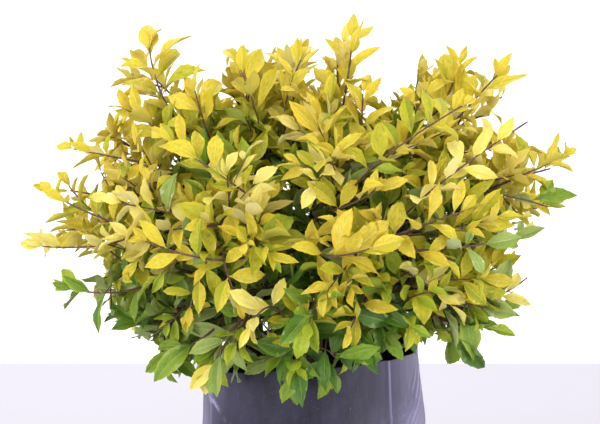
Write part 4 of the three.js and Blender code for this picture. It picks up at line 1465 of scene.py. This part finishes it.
stem_rod = [(paths["stem"], 0, 1, stem_radius)]
add_piece("stem_with_bark", rod_mesh(stem_rod, 48, 70, bark=0.06), old_wood, "bark", "stem")
limb_rods = [(s.path, 0, s.bare + 0.01, (s.fork_radius, MASS_RADIUS)) for s in shoots]
limb_nodes = [f"bough_{s.name}" for s in shoots]
limbs = rod_mesh(limb_rods, 14, 34, bark=0.07)
add_piece("boughs_with_bark", limbs, old_wood, "bark", *limb_nodes)
leaders = rod_mesh(crown.rods["leading_shoots"], 8, 40, knots=0.3)
add_piece("leading_shoots", leaders, shoot_wood, "bark")
twigs = rod_mesh(crown.rods["side_twigs"], 6, 14, knots=0.3)
add_piece("side_twigs", twigs, shoot_wood, "bark")
fine = rod_mesh(crown.rods["fine_twigs"], 5, 6, knots=0.2)
add_piece("fine_twigs", fine, twig_wood, "bark")

# Leaves, one piece a kind
for kind, leaves in crown.leaves.items():
    colours = [shade(*colour) for colour in LEAF_COLOURS[kind]]
    material = leaf_material(kind, *colours, LEAF_GLOSS.get(kind, 1.36))
    low, high = LEAF_NODES.get(kind, (0, 0))
    nodes = [f"foliage_{s.name}" for s in shoots if low < s.height <= high]
    add_piece(kind, leaf_mesh(leaves), material, LEAF_SLOTS.get(kind, "gold_foliage"), *nodes)

make_bag()
make_soil()

# The table, whose back edge is a little way behind the plant
top = [[x, y, -0.6] for x, y in ((-2600, -2600), (2600, -2600), (2600, 1010), (-2600, 1010))]
box = np.concatenate([top, np.array(top) - 20 * UP])
box_faces = [[0, 1, 2, 3], [7, 6, 5, 4], [0, 4, 5, 1], [1, 5, 6, 2], [2, 6, 7, 3], [3, 7, 4, 0]]
floor = mesh_object("table_top", floor_material(), box, np.array(box_faces), NO_FACES)
floor.data.polygons.foreach_set("use_smooth", np.zeros(len(box_faces), bool))


def soft_light(name, place, aim_height, size, power):
    """A square soft light that faces a point on the plant's axis, in mm and watts."""
    lamp = bpy.data.lights.new(name, "AREA")
    lamp.shape = "SQUARE"
    lamp.size = size * MM
    lamp.energy = power
    stand = new_object(name, lamp)
    stand.location = [MM * part for part in place]
    away = Vector(place) - Vector((0, 0, aim_height))
    stand.rotation_euler = away.to_track_quat("Z", "Y").to_euler()


soft_light("front_left_light", (-1600, -2000, 560), 340, 1100, 27)
soft_light("front_right_light", (1800, -1600, 460), 340, 900, 21)
soft_light("top_light", (0, -500, 2300), 420, 1300, 9)
soft_light("back_light", (-300, 1700, 1900), 450, 1200, 18)

# A white room all round
world = bpy.data.worlds.new("white_room")
bpy.context.scene.world = world
world.use_nodes = True
room = world.node_tree.nodes["Background"]
room.inputs["Color"].default_value = (1.0, 1.0, 1.0, 1.0)
room.inputs["Strength"].default_value = 1.46

# The photo's view
lens = bpy.data.cameras.new("photo_view")
lens.sensor_width = 36
lens.lens = VIEW_LENS
lens.clip_start = 0.05
lens.clip_end = 50
camera = new_object("photo_view", lens)
pitch = math.radians(VIEW_ELEVATION)
back = np.array([0, -math.cos(pitch), math.sin(pitch)])
camera.location = (VIEW_TARGET + VIEW_DISTANCE * back) * MM
camera.rotation_euler = (math.pi / 2 - pitch, 0, 0)
bpy.context.scene.camera = camera
bpy.context.scene.view_settings.view_transform = "Standard"
